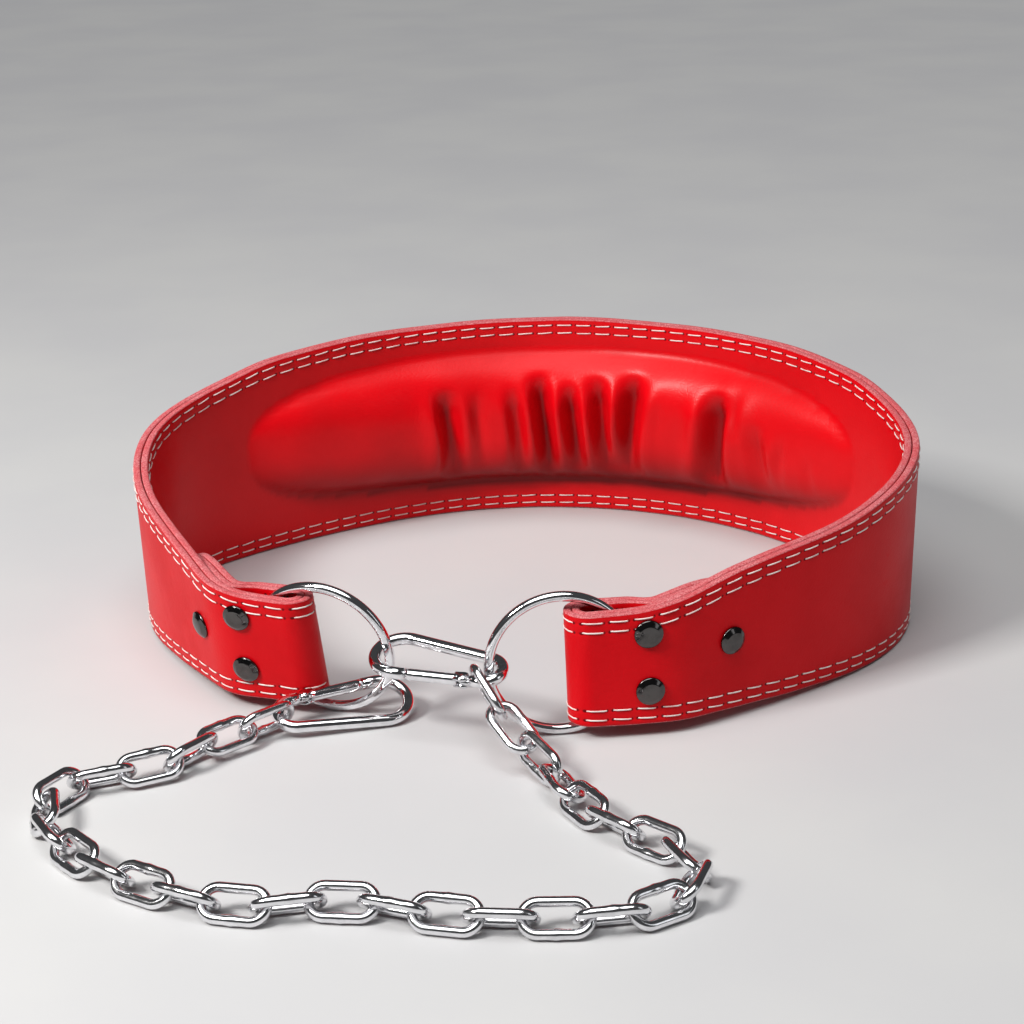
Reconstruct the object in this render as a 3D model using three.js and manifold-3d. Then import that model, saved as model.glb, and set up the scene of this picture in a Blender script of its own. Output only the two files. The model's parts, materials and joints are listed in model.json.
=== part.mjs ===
// A leather dip belt: a two-ply strap with a padded back, a ring in the fold of each end,
// two snap hooks and a welded chain that runs from one hook to the other.
// Millimetres, +Z up, +Y towards the back of the belt. The belt stands on z = 0.

import * as THREE from 'three';
import { mergeVertices } from 'three/addons/utils/BufferGeometryUtils.js';
import Module from 'manifold-3d';

const wasm = await Module();
wasm.setup();

// Sizes of the strap
const PLY_THICKNESS = 3.0;
const PLY_GAP = 0.4;
const BACK_HEIGHT = 102;
const END_HEIGHT = 47.4;
const END_RISE = 5.9;
const RIGHT_LENGTH = 429;
const LEFT_LENGTH = 404;
const BACK_MIDDLE_X = 19;
const BACK_MIDDLE_Y = 109;
const FORWARD_LEAN = 6;
const RIGHT_END_FORWARD_LEAN = 1;
const LEFT_END_FORWARD_LEAN = 10;
const RIGHT_END_SIDE_LEAN = 1.5;
const LEFT_END_SIDE_LEAN = 5;
const STRAP_STEP = 16;
const LEAST_STEP = 2;
const PLAN_STEPS = 400;
const FOLD_STEPS = 8;

// Sizes of the flap that each end makes behind itself
const FLAP_LENGTH = 82;
const FLAP_GAP = 0.4;
const TONGUE_START = 30;
const TONGUE_TIP = 3;
const POCKET_START = 16;
const POCKET_END = 29;
const FLAP_INSET = 0.6;

// Sizes of the lumbar pad, which lies between the plies
const PAD_LENGTH = 345;
const PAD_HEIGHT = 68;
const PAD_CENTRE_HEIGHT = 51.5;
const PAD_DEPTH = 17;
const PAD_CLEARANCE = 0.6;
const PAD_END_CURVE = 3;
const PAD_END_FALL = 3.5;
const PAD_END_ROUNDING = 0.6;
const PAD_CROWN = 0.8;
const GATHERED_REACH = 0.98;
const FOAM_REACH = 0.96;
const CREASE_HALF_WIDTH = 5;

// Sizes of the rivets
const RIVET_CAP_RADIUS = 5.8;
const RIVET_CAP_HEIGHT = 2.3;
const RIVET_RIM_HEIGHT = 0.9;
const RIVET_SHANK_RADIUS = 1.9;
const RIVET_BURR_RADIUS = 4.2;
const RIVET_BURR_HEIGHT = 1.3;
const RIVET_CLEARANCE = 0.4;
const RIVET_FACET = 0.6;
const RIVET_SIDES = 10;
const DRILL_EXTRA = 4;
const DRILL_SIDES = 8;

// Sizes of the rings
const RING_RADIUS = 30.5;
const RING_WIRE = 4.2;
const RING_CLEARANCE = 1.0;
const RING_OUTSIDE = 2;
const RING_STEPS = 28;
const RING_SIDES = 6;

// Sizes of the snap hooks
const HOOK_LENGTH = 59;
const HOOK_WIRE = 5;
const HOOK_WIDE_RADIUS = 10.8;
const HOOK_NARROW_RADIUS = 7.3;
const HOOK_SIDES = 8;
const HOOK_ARC_STEPS = 8;
const NOSE_LENGTH = 5;
const HINGE_INSET = 6.4;
const GATE_GAP = 0.6;
const GATE_WIRE = 4.8;
const KNUCKLE_WIDTH = 4.4;
const KNUCKLE_RADIUS = 2.5;
const TONGUE_RADIUS = 2.1;
const TONGUE_THICKNESS = 1.7;
const TONGUE_ROOT = 1.5;
const HINGE_SIDES = 10;
const SLOT_CLEARANCE = 0.35;
const PIN_RADIUS = 0.8;
const PIN_CLEARANCE = 0.32;
const FIRST_HOOK_HEIGHT = 30;
const FIRST_HOOK_TILT = 16;
const FIRST_LINK_TURN = 8;
const SECOND_HOOK_HEADING = 19;
const SECOND_HOOK_TILT = 24;
const SECOND_HOOK_DIP = 1;
const SECOND_HOOK_SHIFT = 8;
const SECOND_HOOK_CROSSING = 15;

// Sizes of the chain
const LINK_WIRE = 3.7;
const LINK_PITCH = 19.6;
const LINK_WIDTH = 14.8;
const LINK_ROLL = 45;
const LINK_CLEARANCE = 0.6;
const LINK_SIDES = 5;
const LINK_ARC_STEPS = 5;
const HANG_CLEARANCE = 0.9;
const TWIST_LINKS = 4;
const CHORD_TRIALS = 30;
const ROUTE_SAMPLES = 2400;

// How far the strap has turned from the line of the back, in degrees, at shares of a side's length
const RIGHT_TURNS = [
  { at: 0, turned: 8 },
  { at: 0.25, turned: 46 },
  { at: 0.45, turned: 71.5 },
  { at: 0.6, turned: 114 },
  { at: 0.75, turned: 142 },
  { at: 0.86, turned: 147.5 },
  { at: 0.9, turned: 149 },
  { at: 0.955, turned: 173 },
  { at: 1, turned: 174 },
];
const LEFT_TURNS = [
  { at: 0, turned: -8 },
  { at: 0.255, turned: 27.5 },
  { at: 0.46, turned: 43.5 },
  { at: 0.61, turned: 87 },
  { at: 0.765, turned: 116.5 },
  { at: 0.85, turned: 121.5 },
  { at: 0.9, turned: 123 },
  { at: 0.955, turned: 159 },
  { at: 1, turned: 160 },
];

// Height of the strap's top edge: 1 is the back's height and 0 is the height of the folds
const TOP_EDGE = [
  { at: 0, height: 1 },
  { at: 0.25, height: 0.97 },
  { at: 0.38, height: 0.9 },
  { at: 0.45, height: 0.79 },
  { at: 0.52, height: 0.67 },
  { at: 0.6, height: 0.56 },
  { at: 0.72, height: 0.38 },
  { at: 0.85, height: 0.22 },
  { at: 0.92, height: 0.07 },
  { at: 0.96, height: 0.01 },
  { at: 1, height: 0 },
];

// Gathers across the pad: place along its half length, and depth as a share of the pad's depth
const CREASES = [
  { at: -0.39, depth: 0.3 },
  { at: -0.295, depth: 0.12 },
  { at: -0.19, depth: 0.16 },
  { at: -0.093, depth: 0.24 },
  { at: 0, depth: 0.28 },
  { at: 0.093, depth: 0.28 },
  { at: 0.203, depth: 0.28 },
  { at: 0.464, depth: 0.36 },
  { at: 0.632, depth: 0.16 },
];

// Rows of points up the pad: place from its lower (-1) to its upper (1) edge, and a gather's strength
const PAD_ROWS = [
  { place: -1, gather: 0 },
  { place: -0.84, gather: 0.5 },
  { place: -0.45, gather: 1 },
  { place: 0.05, gather: 1 },
  { place: 0.5, gather: 0.4 },
  { place: 0.84, gather: 0 },
  { place: 1, gather: 0 },
];

// Rivets: distance behind each fold as a share of the flap, and height as a share of the strap
const RIVETS = [
  { name: 'upper', right: 0.27, left: 0.25, height: 0.8 },
  { name: 'lower', right: 0.27, left: 0.25, height: 0.3 },
  { name: 'back', right: 0.71, left: 0.55, height: 0.52 },
];

// Sections of the flap, as shares of its length
const FLAP_SECTIONS = [0.08, 0.16, 0.22, 0.28, 0.34, 0.42, 0.52, 0.62, 0.71, 0.8, 0.88, 0.94, 0.98, 1];

// Route of the chain between its end links: X, Y and Z of the points that it passes
const CHAIN_ROUTE = [
  [-13, -191, 15],
  [1, -210, 7.6],
  [13, -240, 6],
  [28, -258, 6],
  [45, -275, 6],
  [50, -292, 6],
  [43, -308, 6],
  [27, -317, 6],
  [3, -319, 6],
  [-36, -315, 6],
  [-72, -303, 6],
  [-104, -306, 6],
  [-134, -293, 6],
  [-157, -277, 6],
  [-174, -258, 6],
  [-185, -236, 6],
  [-185, -214, 6],
  [-168, -203, 6],
  [-148, -198, 6.5],
  [-132, -180, 7],
];

// Sizes that follow from those above
const HALF_STRAP = PLY_THICKNESS + PLY_GAP / 2;
const END_TOP = END_RISE + END_HEIGHT;
const FOLD_RADIUS = HALF_STRAP + RING_WIRE / 2 + RING_CLEARANCE;
const FLAP_OFFSET = 2 * HALF_STRAP + FLAP_GAP;
const slopeOf = (degrees) => Math.tan(THREE.MathUtils.degToRad(degrees));

const metal = (color, roughness) => new THREE.MeshStandardMaterial({ color, roughness, metalness: 1 });
const leather = (color) => new THREE.MeshStandardMaterial({ color, roughness: 0.5, metalness: 0 });
const outerLeather = leather(0xb01018);
const innerLeather = leather(0xc0121c);
const padFoam = new THREE.MeshStandardMaterial({ color: 0xd8cfc4, roughness: 0.9 });
const rivetSteel = metal(0x3a3a3c, 0.3);
const brightSteel = metal(0xc8cacc, 0.2);
const chainSteel = metal(0xb9bcc0, 0.3);

// Reads a column of a table at a place between its rows, on a curve that never overshoots a row
function smoothRead(rows, column, at) {
  const after = rows.findIndex((row) => row.at > at);
  const index = Math.max(0, (after < 0 ? rows.length - 1 : after) - 1);
  const slope = (k) => (rows[k + 1][column] - rows[k][column]) / (rows[k + 1].at - rows[k].at);
  const bend = (k) => {
    if (k === 0) return slope(0);
    if (k === rows.length - 1) return slope(k - 1);
    const before = slope(k - 1);
    const next = slope(k);
    return before * next <= 0 ? 0 : (2 * before * next) / (before + next);
  };
  const start = rows[index];
  const end = rows[index + 1];
  const span = end.at - start.at;
  const t = THREE.MathUtils.clamp((at - start.at) / span, 0, 1);
  const value = (2 * t ** 3 - 3 * t ** 2 + 1) * start[column] + (3 * t ** 2 - 2 * t ** 3) * end[column];
  return value + span * ((t ** 3 - 2 * t ** 2 + t) * bend(index) + (t ** 3 - t ** 2) * bend(index + 1));
}

// Follows one side of the strap in plan, from the middle of the back to its fold
function sideOfStrap(sign, length, turns, endForwardLean, endSideLean) {
  const points = [new THREE.Vector2(BACK_MIDDLE_X, BACK_MIDDLE_Y)];
  const heading = (at) => THREE.MathUtils.degToRad(smoothRead(turns, 'turned', at));
  for (let step = 0; step < PLAN_STEPS; step += 1) {
    const angle = heading((step + 0.5) / PLAN_STEPS);
    const move = new THREE.Vector2(sign * Math.cos(angle), -Math.sin(angle));
    points.push(points[step].clone().addScaledVector(move, length / PLAN_STEPS));
  }
  const place = (at) => {
    const step = Math.min(PLAN_STEPS - 1, Math.floor(at * PLAN_STEPS));
    const angle = heading(at);
    const leanShare = THREE.MathUtils.smoothstep(at, 0.7, 0.96);
    return {
      centre: points[step].clone().lerp(points[step + 1], at * PLAN_STEPS - step),
      outward: new THREE.Vector2(sign * Math.sin(angle), Math.cos(angle)),
      forward: new THREE.Vector2(sign * Math.cos(angle), -Math.sin(angle)),
      along: sign * at * length,
      low: END_RISE * THREE.MathUtils.smoothstep(at, 0.6, 1),
      high: END_TOP + (BACK_HEIGHT - END_TOP) * smoothRead(TOP_EDGE, 'height', at),
      sideSlope: slopeOf(endSideLean * THREE.MathUtils.smoothstep(at, 0.6, 1)),
      forwardSlope: slopeOf(THREE.MathUtils.lerp(FORWARD_LEAN, endForwardLean, leanShare)),
    };
  };
  return { sign, length, place };
}

const rightSide = sideOfStrap(1, RIGHT_LENGTH, RIGHT_TURNS, RIGHT_END_FORWARD_LEAN, RIGHT_END_SIDE_LEAN);
const leftSide = sideOfStrap(-1, LEFT_LENGTH, LEFT_TURNS, LEFT_END_FORWARD_LEAN, LEFT_END_SIDE_LEAN);

// Depth of the pad's bulge, at a distance along the back and a row of the pad
function padBulge(along, row) {
  const share = Math.min(1, Math.abs(along) / (PAD_LENGTH / 2));
  const ends = Math.max(0, 1 - share ** PAD_END_FALL) ** PAD_END_ROUNDING;
  const section = Math.max(0, 1 - row.place ** 2) ** PAD_CROWN;
  let depth = PAD_DEPTH * ends * section;
  for (const crease of CREASES) {
    const distance = Math.abs(along - crease.at * PAD_LENGTH / 2) / CREASE_HALF_WIDTH;
    if (distance < 1) depth -= PAD_DEPTH * ends * crease.depth * row.gather * section * (1 - distance);
  }
  return depth;
}

// Heights of the pad's rows at a distance along the back
function padHeight(along, row) {
  const share = Math.min(1, Math.abs(along) / (PAD_LENGTH / 2));
  const half = (PAD_HEIGHT / 2) * Math.max(0, 1 - share ** PAD_END_CURVE) ** (1 / PAD_END_CURVE);
  return PAD_CENTRE_HEIGHT + half * row.place;
}

// Places along the strap where a section is taken: close together on the pad, and on every gather
function sidePlaces(side) {
  const half = PAD_LENGTH / 2;
  const marks = [0, (FOAM_REACH + GATHERED_REACH) / 2 * half, half];
  for (const crease of CREASES) {
    for (const shift of [-1, 0, 1]) marks.push(side.sign * crease.at * half + shift * CREASE_HALF_WIDTH);
  }
  const padMarks = marks.filter((mark) => mark >= 0).sort((a, b) => a - b);
  const places = [0];
  for (const mark of [...padMarks, side.length]) {
    const last = places[places.length - 1];
    const gap = mark - last;
    if (gap < LEAST_STEP) continue;
    const parts = Math.ceil(gap / STRAP_STEP);
    for (let part = 1; part <= parts; part += 1) places.push(last + (gap * part) / parts);
  }
  return places.map((distance) => side.place(distance / side.length));
}

// The turn of the strap round its ring, seen from above
function foldStations(side) {
  const end = side.place(1);
  const axis = end.centre.clone().addScaledVector(end.outward, -FOLD_RADIUS);
  const stations = [];
  for (let step = 1; step <= FOLD_STEPS; step += 1) {
    const angle = (Math.PI * step) / FOLD_STEPS;
    const outward = end.outward.clone().multiplyScalar(Math.cos(angle));
    outward.addScaledVector(end.forward, Math.sin(angle));
    stations.push({
      ...end,
      centre: axis.clone().addScaledVector(outward, FOLD_RADIUS),
      outward,
      along: side.sign * side.length,
    });
  }
  return stations;
}

// Distance between the middles of the strap and of its flap, behind the fold
function flapOffset(behind) {
  const closing = THREE.MathUtils.smoothstep(behind, POCKET_START, POCKET_END);
  return THREE.MathUtils.lerp(2 * FOLD_RADIUS, FLAP_OFFSET, closing);
}

// The flap that runs back along the inside of the strap and ends in a rounded tongue
function flapStations(side) {
  return FLAP_SECTIONS.map((share) => {
    const behind = share * FLAP_LENGTH;
    const beside = side.place(1 - behind / side.length);
    const reach = Math.max(0, behind - TONGUE_START) / (FLAP_LENGTH - TONGUE_START);
    const middle = (beside.low + beside.high) / 2;
    const full = (beside.high - beside.low) / 2 - FLAP_INSET * THREE.MathUtils.smoothstep(share, 0, 0.3);
    const half = Math.max(TONGUE_TIP, full * Math.sqrt(Math.max(0, 1 - reach ** 2)));
    return {
      ...beside,
      centre: beside.centre.clone().addScaledVector(beside.outward, -flapOffset(behind)),
      outward: beside.outward.clone().negate(),
      low: middle - half,
      high: middle + half,
    };
  });
}

const rightStations = [...sidePlaces(rightSide), ...foldStations(rightSide), ...flapStations(rightSide)];
const leftStations = [...sidePlaces(leftSide), ...foldStations(leftSide), ...flapStations(leftSide)];
const strapStations = [...leftStations.slice(1).reverse(), ...rightStations];

// A point on the strap: offset from its middle surface, at a height, with the lean of the wall
function strapPoint(station, offset, height) {
  const flat = station.centre.clone().addScaledVector(station.outward, offset);
  return new THREE.Vector3(flat.x - station.sideSlope * height, flat.y - station.forwardSlope * height, height);
}

// True where a station belongs to the pad, away from the folds and flaps
function onPad(station, reach) {
  return Math.abs(station.along) < reach * (PAD_LENGTH / 2);
}

// Joins two rows of vertex numbers, which may differ in count, with triangles
function stitch(first, second, faces) {
  let a = 0;
  let b = 0;
  while (a < first.length - 1 || b < second.length - 1) {
    const nextA = (a + 1) / (first.length - 1 || 1);
    const nextB = (b + 1) / (second.length - 1 || 1);
    const moveA = b === second.length - 1 || (a < first.length - 1 && nextA <= nextB);
    if (moveA) {
      faces.push([first[a], first[a + 1], second[b]]);
      a += 1;
    } else {
      faces.push([first[a], second[b + 1], second[b]]);
      b += 1;
    }
  }
}

// A closed wall lofted through sections, each with a column of points on either side
function wallGeometry(sections) {
  const points = [];
  const faces = [];
  const number = (column) => column.map((point) => points.push(point) - 1);
  const numbered = sections.map(({ near, far }) => ({ near: number(near), far: number(far) }));
  for (let k = 0; k < numbered.length - 1; k += 1) {
    const here = numbered[k];
    const next = numbered[k + 1];
    stitch(next.near, here.near, faces);
    stitch(here.far, next.far, faces);
    stitch([here.near[0], here.far[0]], [next.near[0], next.far[0]], faces);
    stitch([here.far.at(-1), here.near.at(-1)], [next.far.at(-1), next.near.at(-1)], faces);
  }
  const first = numbered[0];
  const last = numbered.at(-1);
  stitch(first.near, first.far, faces);
  stitch(last.far, last.near, faces);
  return closedGeometry(points, faces);
}

// A geometry of shared points and triangles, with its faces turned out
function closedGeometry(points, faces) {
  const volume = faces.reduce((sum, [a, b, c]) => {
    return sum + points[a].dot(new THREE.Vector3().crossVectors(points[b], points[c]));
  }, 0);
  const geometry = new THREE.BufferGeometry();
  const positions = points.flatMap((point) => point.toArray());
  geometry.setAttribute('position', new THREE.Float32BufferAttribute(positions, 3));
  geometry.setIndex(faces.flatMap(([a, b, c]) => (volume > 0 ? [a, b, c] : [a, c, b])));
  return geometry;
}

// A bar of round section along a path, closed into a loop or with flat ends
function barGeometry(path, radius, sides, closed, across) {
  const points = [];
  const faces = [];
  const count = path.length;
  const turn = Math.PI / sides;
  for (let k = 0; k < count; k += 1) {
    const before = path[closed ? (k + count - 1) % count : Math.max(0, k - 1)];
    const after = path[closed ? (k + 1) % count : Math.min(count - 1, k + 1)];
    const along = after.clone().sub(before).normalize();
    const side = across.clone().cross(along).normalize();
    for (let corner = 0; corner < sides; corner += 1) {
      const angle = turn + (2 * Math.PI * corner) / sides;
      const point = path[k].clone().addScaledVector(side, radius * Math.cos(angle));
      points.push(point.addScaledVector(across, radius * Math.sin(angle)));
    }
  }
  for (let k = 0; k < (closed ? count : count - 1); k += 1) {
    const next = ((k + 1) % count) * sides;
    for (let corner = 0; corner < sides; corner += 1) {
      const other = (corner + 1) % sides;
      faces.push([k * sides + corner, next + corner, next + other]);
      faces.push([k * sides + corner, next + other, k * sides + other]);
    }
  }
  if (!closed) {
    const last = (count - 1) * sides;
    for (let corner = 1; corner < sides - 1; corner += 1) {
      faces.push([0, corner, corner + 1]);
      faces.push([last, last + corner + 1, last + corner]);
    }
  }
  return closedGeometry(points, faces);
}

// A solid made from a closed geometry, ready to be joined or cut
function solidOf(geometry) {
  const bare = geometry.clone();
  bare.deleteAttribute('normal');
  bare.deleteAttribute('uv');
  const merged = mergeVertices(bare, 1e-4);
  return new wasm.Manifold(new wasm.Mesh({
    numProp: 3,
    vertProperties: new Float32Array(merged.attributes.position.array),
    triVerts: new Uint32Array(merged.index.array),
  }));
}

function geometryOf(solid) {
  const mesh = solid.getMesh();
  const geometry = new THREE.BufferGeometry();
  geometry.setAttribute('position', new THREE.BufferAttribute(mesh.vertProperties, mesh.numProp));
  geometry.setIndex(new THREE.BufferAttribute(mesh.triVerts, 1));
  return geometry;
}

function namedMesh(name, geometry, material) {
  const shaded = geometry.clone();
  shaded.computeVertexNormals();
  const mesh = new THREE.Mesh(shaded, material);
  mesh.name = name;
  return mesh;
}

// Where each rivet goes: its middle, its axis out of the strap and the faces that it clamps
function rivetPlaces(side, sideName) {
  return RIVETS.map((row) => {
    const behind = row[sideName] * FLAP_LENGTH;
    const station = side.place(1 - behind / side.length);
    const level = THREE.MathUtils.lerp(station.low, station.high, row.height);
    const up = new THREE.Vector3(-station.sideSlope, -station.forwardSlope, 1);
    const along = new THREE.Vector3(station.forward.x, station.forward.y, 0);
    const axis = along.cross(up).normalize();
    if (axis.x * station.outward.x + axis.y * station.outward.y < 0) axis.negate();
    return {
      name: `rivet_${sideName}_${row.name}`,
      middle: strapPoint(station, 0, level),
      axis,
      front: HALF_STRAP + RIVET_CLEARANCE,
      back: flapOffset(behind - RIVET_BURR_RADIUS) + HALF_STRAP + RIVET_CLEARANCE,
    };
  });
}

const rivetList = [...rivetPlaces(rightSide, 'right'), ...rivetPlaces(leftSide, 'left')];

// Turns a shape made along +Y so that it stands on a point and runs along an axis
function standAlong(geometry, middle, axis) {
  const turn = new THREE.Quaternion().setFromUnitVectors(new THREE.Vector3(0, 1, 0), axis);
  return geometry.clone().applyQuaternion(turn).translate(middle.x, middle.y, middle.z);
}

function rivet(place) {
  const profile = [
    new THREE.Vector2(0, -place.back - RIVET_BURR_HEIGHT),
    new THREE.Vector2(RIVET_BURR_RADIUS * 0.8, -place.back - RIVET_BURR_HEIGHT),
    new THREE.Vector2(RIVET_BURR_RADIUS, -place.back),
    new THREE.Vector2(RIVET_SHANK_RADIUS, -place.back),
    new THREE.Vector2(RIVET_SHANK_RADIUS, place.front),
    new THREE.Vector2(RIVET_CAP_RADIUS, place.front),
    new THREE.Vector2(RIVET_CAP_RADIUS, place.front + RIVET_RIM_HEIGHT),
    new THREE.Vector2(RIVET_CAP_RADIUS * RIVET_FACET, place.front + RIVET_CAP_HEIGHT * 0.9),
    new THREE.Vector2(0, place.front + RIVET_CAP_HEIGHT),
  ];
  const turned = new THREE.LatheGeometry(profile, RIVET_SIDES);
  const geometry = geometryOf(solidOf(standAlong(turned, place.middle, place.axis)));
  return namedMesh(place.name, geometry, rivetSteel);
}

// Drills the rivets' holes through a ply
function drilled(geometry) {
  let solid = solidOf(geometry);
  for (const place of rivetList) {
    const length = place.front + place.back + 2 * DRILL_EXTRA;
    const radius = (RIVET_SHANK_RADIUS + RIVET_CLEARANCE) / Math.cos(Math.PI / DRILL_SIDES);
    const drill = new THREE.CylinderGeometry(radius, radius, length, DRILL_SIDES);
    drill.translate(0, (place.front - place.back) / 2, 0);
    solid = solid.subtract(solidOf(standAlong(drill, place.middle, place.axis)));
  }
  return geometryOf(solid);
}

// The outer ply keeps the plain line of the strap all the way
function outerPly() {
  const inside = PLY_GAP / 2;
  const outside = PLY_GAP / 2 + PLY_THICKNESS;
  const sections = strapStations.map((station) => ({
    near: [station.low, station.high].map((height) => strapPoint(station, outside, height)),
    far: [station.low, station.high].map((height) => strapPoint(station, inside, height)),
  }));
  return namedMesh('outer_ply', drilled(wallGeometry(sections)), outerLeather);
}

// The inner ply is stretched over the pad, and gathered across it
function innerPly() {
  const near = -PLY_GAP / 2;
  const far = -PLY_GAP / 2 - PLY_THICKNESS;
  const sections = strapStations.map((station) => {
    const lowEdge = { height: station.low, bulge: 0 };
    const highEdge = { height: station.high, bulge: 0 };
    const padded = PAD_ROWS.map((row) => ({
      height: padHeight(station.along, row),
      bulge: padBulge(station.along, row),
    }));
    const gathered = onPad(station, GATHERED_REACH);
    const rows = gathered ? [lowEdge, ...padded, highEdge] : [lowEdge, highEdge];
    return {
      near: rows.map((row) => strapPoint(station, near - row.bulge, row.height)),
      far: rows.map((row) => strapPoint(station, far - row.bulge, row.height)),
    };
  });
  return namedMesh('inner_ply', drilled(wallGeometry(sections)), innerLeather);
}

// The foam pad fills the bulge between the plies
function lumbarPad() {
  const back = PLY_GAP / 2 - PAD_CLEARANCE;
  const rows = PAD_ROWS.slice(1, -1);
  const sections = strapStations.filter((station) => onPad(station, FOAM_REACH)).map((station) => ({
    near: rows.map((row) => {
      const front = PAD_CLEARANCE - PLY_GAP / 2 - padBulge(station.along, row);
      return strapPoint(station, front, padHeight(station.along, row));
    }),
    far: rows.map((row) => strapPoint(station, back, padHeight(station.along, row))),
  }));
  return namedMesh('lumbar_pad', wallGeometry(sections), padFoam);
}

// Where a ring stands: its centre and the two directions of its plane
function ringPlace(side) {
  const end = side.place(1);
  const up = new THREE.Vector3(-end.sideSlope, -end.forwardSlope, 1).normalize();
  const forward = new THREE.Vector3(end.forward.x, end.forward.y, 0);
  const level = forward.addScaledVector(up, -forward.dot(up)).normalize();
  const tallness = RING_RADIUS * up.z;
  const flat = end.centre.clone().addScaledVector(end.outward, -FOLD_RADIUS);
  flat.addScaledVector(end.forward, FOLD_RADIUS + HALF_STRAP + RING_OUTSIDE);
  const centre = new THREE.Vector3(
    flat.x - end.sideSlope * tallness, flat.y - end.forwardSlope * tallness, tallness);
  return { centre, level, up };
}

const ringPlaces = { right: ringPlace(rightSide), left: ringPlace(leftSide) };

// A point on the middle line of a ring, at an angle from its level direction
function ringPoint(place, angle) {
  const radius = RING_RADIUS - RING_WIRE / 2;
  return place.centre.clone()
    .addScaledVector(place.level, radius * Math.cos(angle))
    .addScaledVector(place.up, radius * Math.sin(angle));
}

function ring(name, place) {
  const path = [];
  for (let step = 0; step < RING_STEPS; step += 1) {
    path.push(ringPoint(place, (2 * Math.PI * (step + 0.5)) / RING_STEPS));
  }
  const across = place.level.clone().cross(place.up).normalize();
  return namedMesh(name, barGeometry(path, RING_WIRE / 2, RING_SIDES, true, across), brightSteel);
}

// Middle line of a snap hook in its own plane: +X to the wide end, +Y to the gate, Z across
const hookSpan = HOOK_LENGTH - HOOK_WIRE - HOOK_WIDE_RADIUS - HOOK_NARROW_RADIUS;
const hookSlant = Math.asin((HOOK_WIDE_RADIUS - HOOK_NARROW_RADIUS) / hookSpan);
const wideCentre = new THREE.Vector3(hookSpan / 2, 0, 0);
const narrowCentre = new THREE.Vector3(-hookSpan / 2, 0, 0);
const gateLine = new THREE.Vector3(Math.cos(hookSlant), Math.sin(hookSlant), 0);
const onWide = (angle) => wideCentre.clone().add(
  new THREE.Vector3(Math.cos(angle), Math.sin(angle), 0).multiplyScalar(HOOK_WIDE_RADIUS));
const onNarrow = (angle) => narrowCentre.clone().add(
  new THREE.Vector3(Math.cos(angle), Math.sin(angle), 0).multiplyScalar(HOOK_NARROW_RADIUS));
const wideTangent = onWide(Math.PI / 2 + hookSlant);
const narrowTangent = onNarrow(Math.PI / 2 + hookSlant);
const hingePoint = narrowTangent.clone().addScaledVector(gateLine, HINGE_INSET);
const noseTip = wideTangent.clone().addScaledVector(gateLine, -NOSE_LENGTH);
const gateLength = noseTip.distanceTo(hingePoint) - GATE_GAP;
const hookAcross = new THREE.Vector3(0, 0, 1);

// A disc or block of the hinge, placed in the hook's plane at the pin
function hingeDisc(radius, thickness) {
  const disc = new THREE.CylinderGeometry(radius, radius, thickness, HINGE_SIDES);
  return solidOf(disc.rotateX(Math.PI / 2).translate(hingePoint.x, hingePoint.y, 0));
}

function hingeBlock(from, to, width, thickness) {
  const block = new THREE.BoxGeometry(to - from, width, thickness).translate((from + to) / 2, 0, 0);
  return solidOf(block.rotateZ(hookSlant).translate(hingePoint.x, hingePoint.y, 0));
}

// The bent wire of the hook, flattened at its hinge end into a tongue that holds the gate's pin
function hookBodySolid() {
  const shoulder = KNUCKLE_RADIUS + SLOT_CLEARANCE;
  const path = [hingePoint.clone().addScaledVector(gateLine, -shoulder)];
  const startAngle = Math.PI / 2 + hookSlant;
  const narrowTurn = Math.PI - 2 * hookSlant;
  const wideTurn = Math.PI + 2 * hookSlant;
  for (let step = 0; step <= HOOK_ARC_STEPS; step += 1) {
    path.push(onNarrow(startAngle + (narrowTurn * step) / HOOK_ARC_STEPS));
  }
  for (let step = 0; step <= HOOK_ARC_STEPS; step += 1) {
    path.push(onWide(-startAngle + (wideTurn * step) / HOOK_ARC_STEPS));
  }
  path.push(noseTip.clone());
  const wire = solidOf(barGeometry(path, HOOK_WIRE / 2, HOOK_SIDES, false, hookAcross));
  const tongue = hingeDisc(TONGUE_RADIUS, TONGUE_THICKNESS)
    .add(hingeBlock(-shoulder - TONGUE_ROOT, 0, 2 * TONGUE_RADIUS, TONGUE_THICKNESS));
  return wire.add(tongue).subtract(hingeDisc(PIN_RADIUS + PIN_CLEARANCE, 2 * TONGUE_THICKNESS));
}

// The gate: a straight rod whose forked end straddles the tongue, with the pin through the fork
function hookGateSolid() {
  const rodPath = [hingePoint.clone(), hingePoint.clone().addScaledVector(gateLine, gateLength)];
  const rod = solidOf(barGeometry(rodPath, GATE_WIRE / 2, HOOK_SIDES, false, hookAcross));
  const slotRadius = TONGUE_RADIUS + SLOT_CLEARANCE;
  const slotThickness = TONGUE_THICKNESS + 2 * SLOT_CLEARANCE;
  const slot = hingeDisc(slotRadius, slotThickness)
    .add(hingeBlock(-2 * slotRadius, 0, 2 * HOOK_WIRE, slotThickness));
  return rod.add(hingeDisc(KNUCKLE_RADIUS, KNUCKLE_WIDTH))
    .subtract(slot)
    .add(hingeDisc(PIN_RADIUS, KNUCKLE_WIDTH));
}

const hookBodyGeometry = geometryOf(hookBodySolid());
const hookGateGeometry = geometryOf(hookGateSolid());

// Where a hook lies: a matrix made from its middle and from its directions to the wide end and gate
function hookPlace(middle, toWide, toGate) {
  const across = toWide.clone().cross(toGate).normalize();
  return new THREE.Matrix4().makeBasis(toWide, across.clone().cross(toWide), across).setPosition(middle);
}

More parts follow.
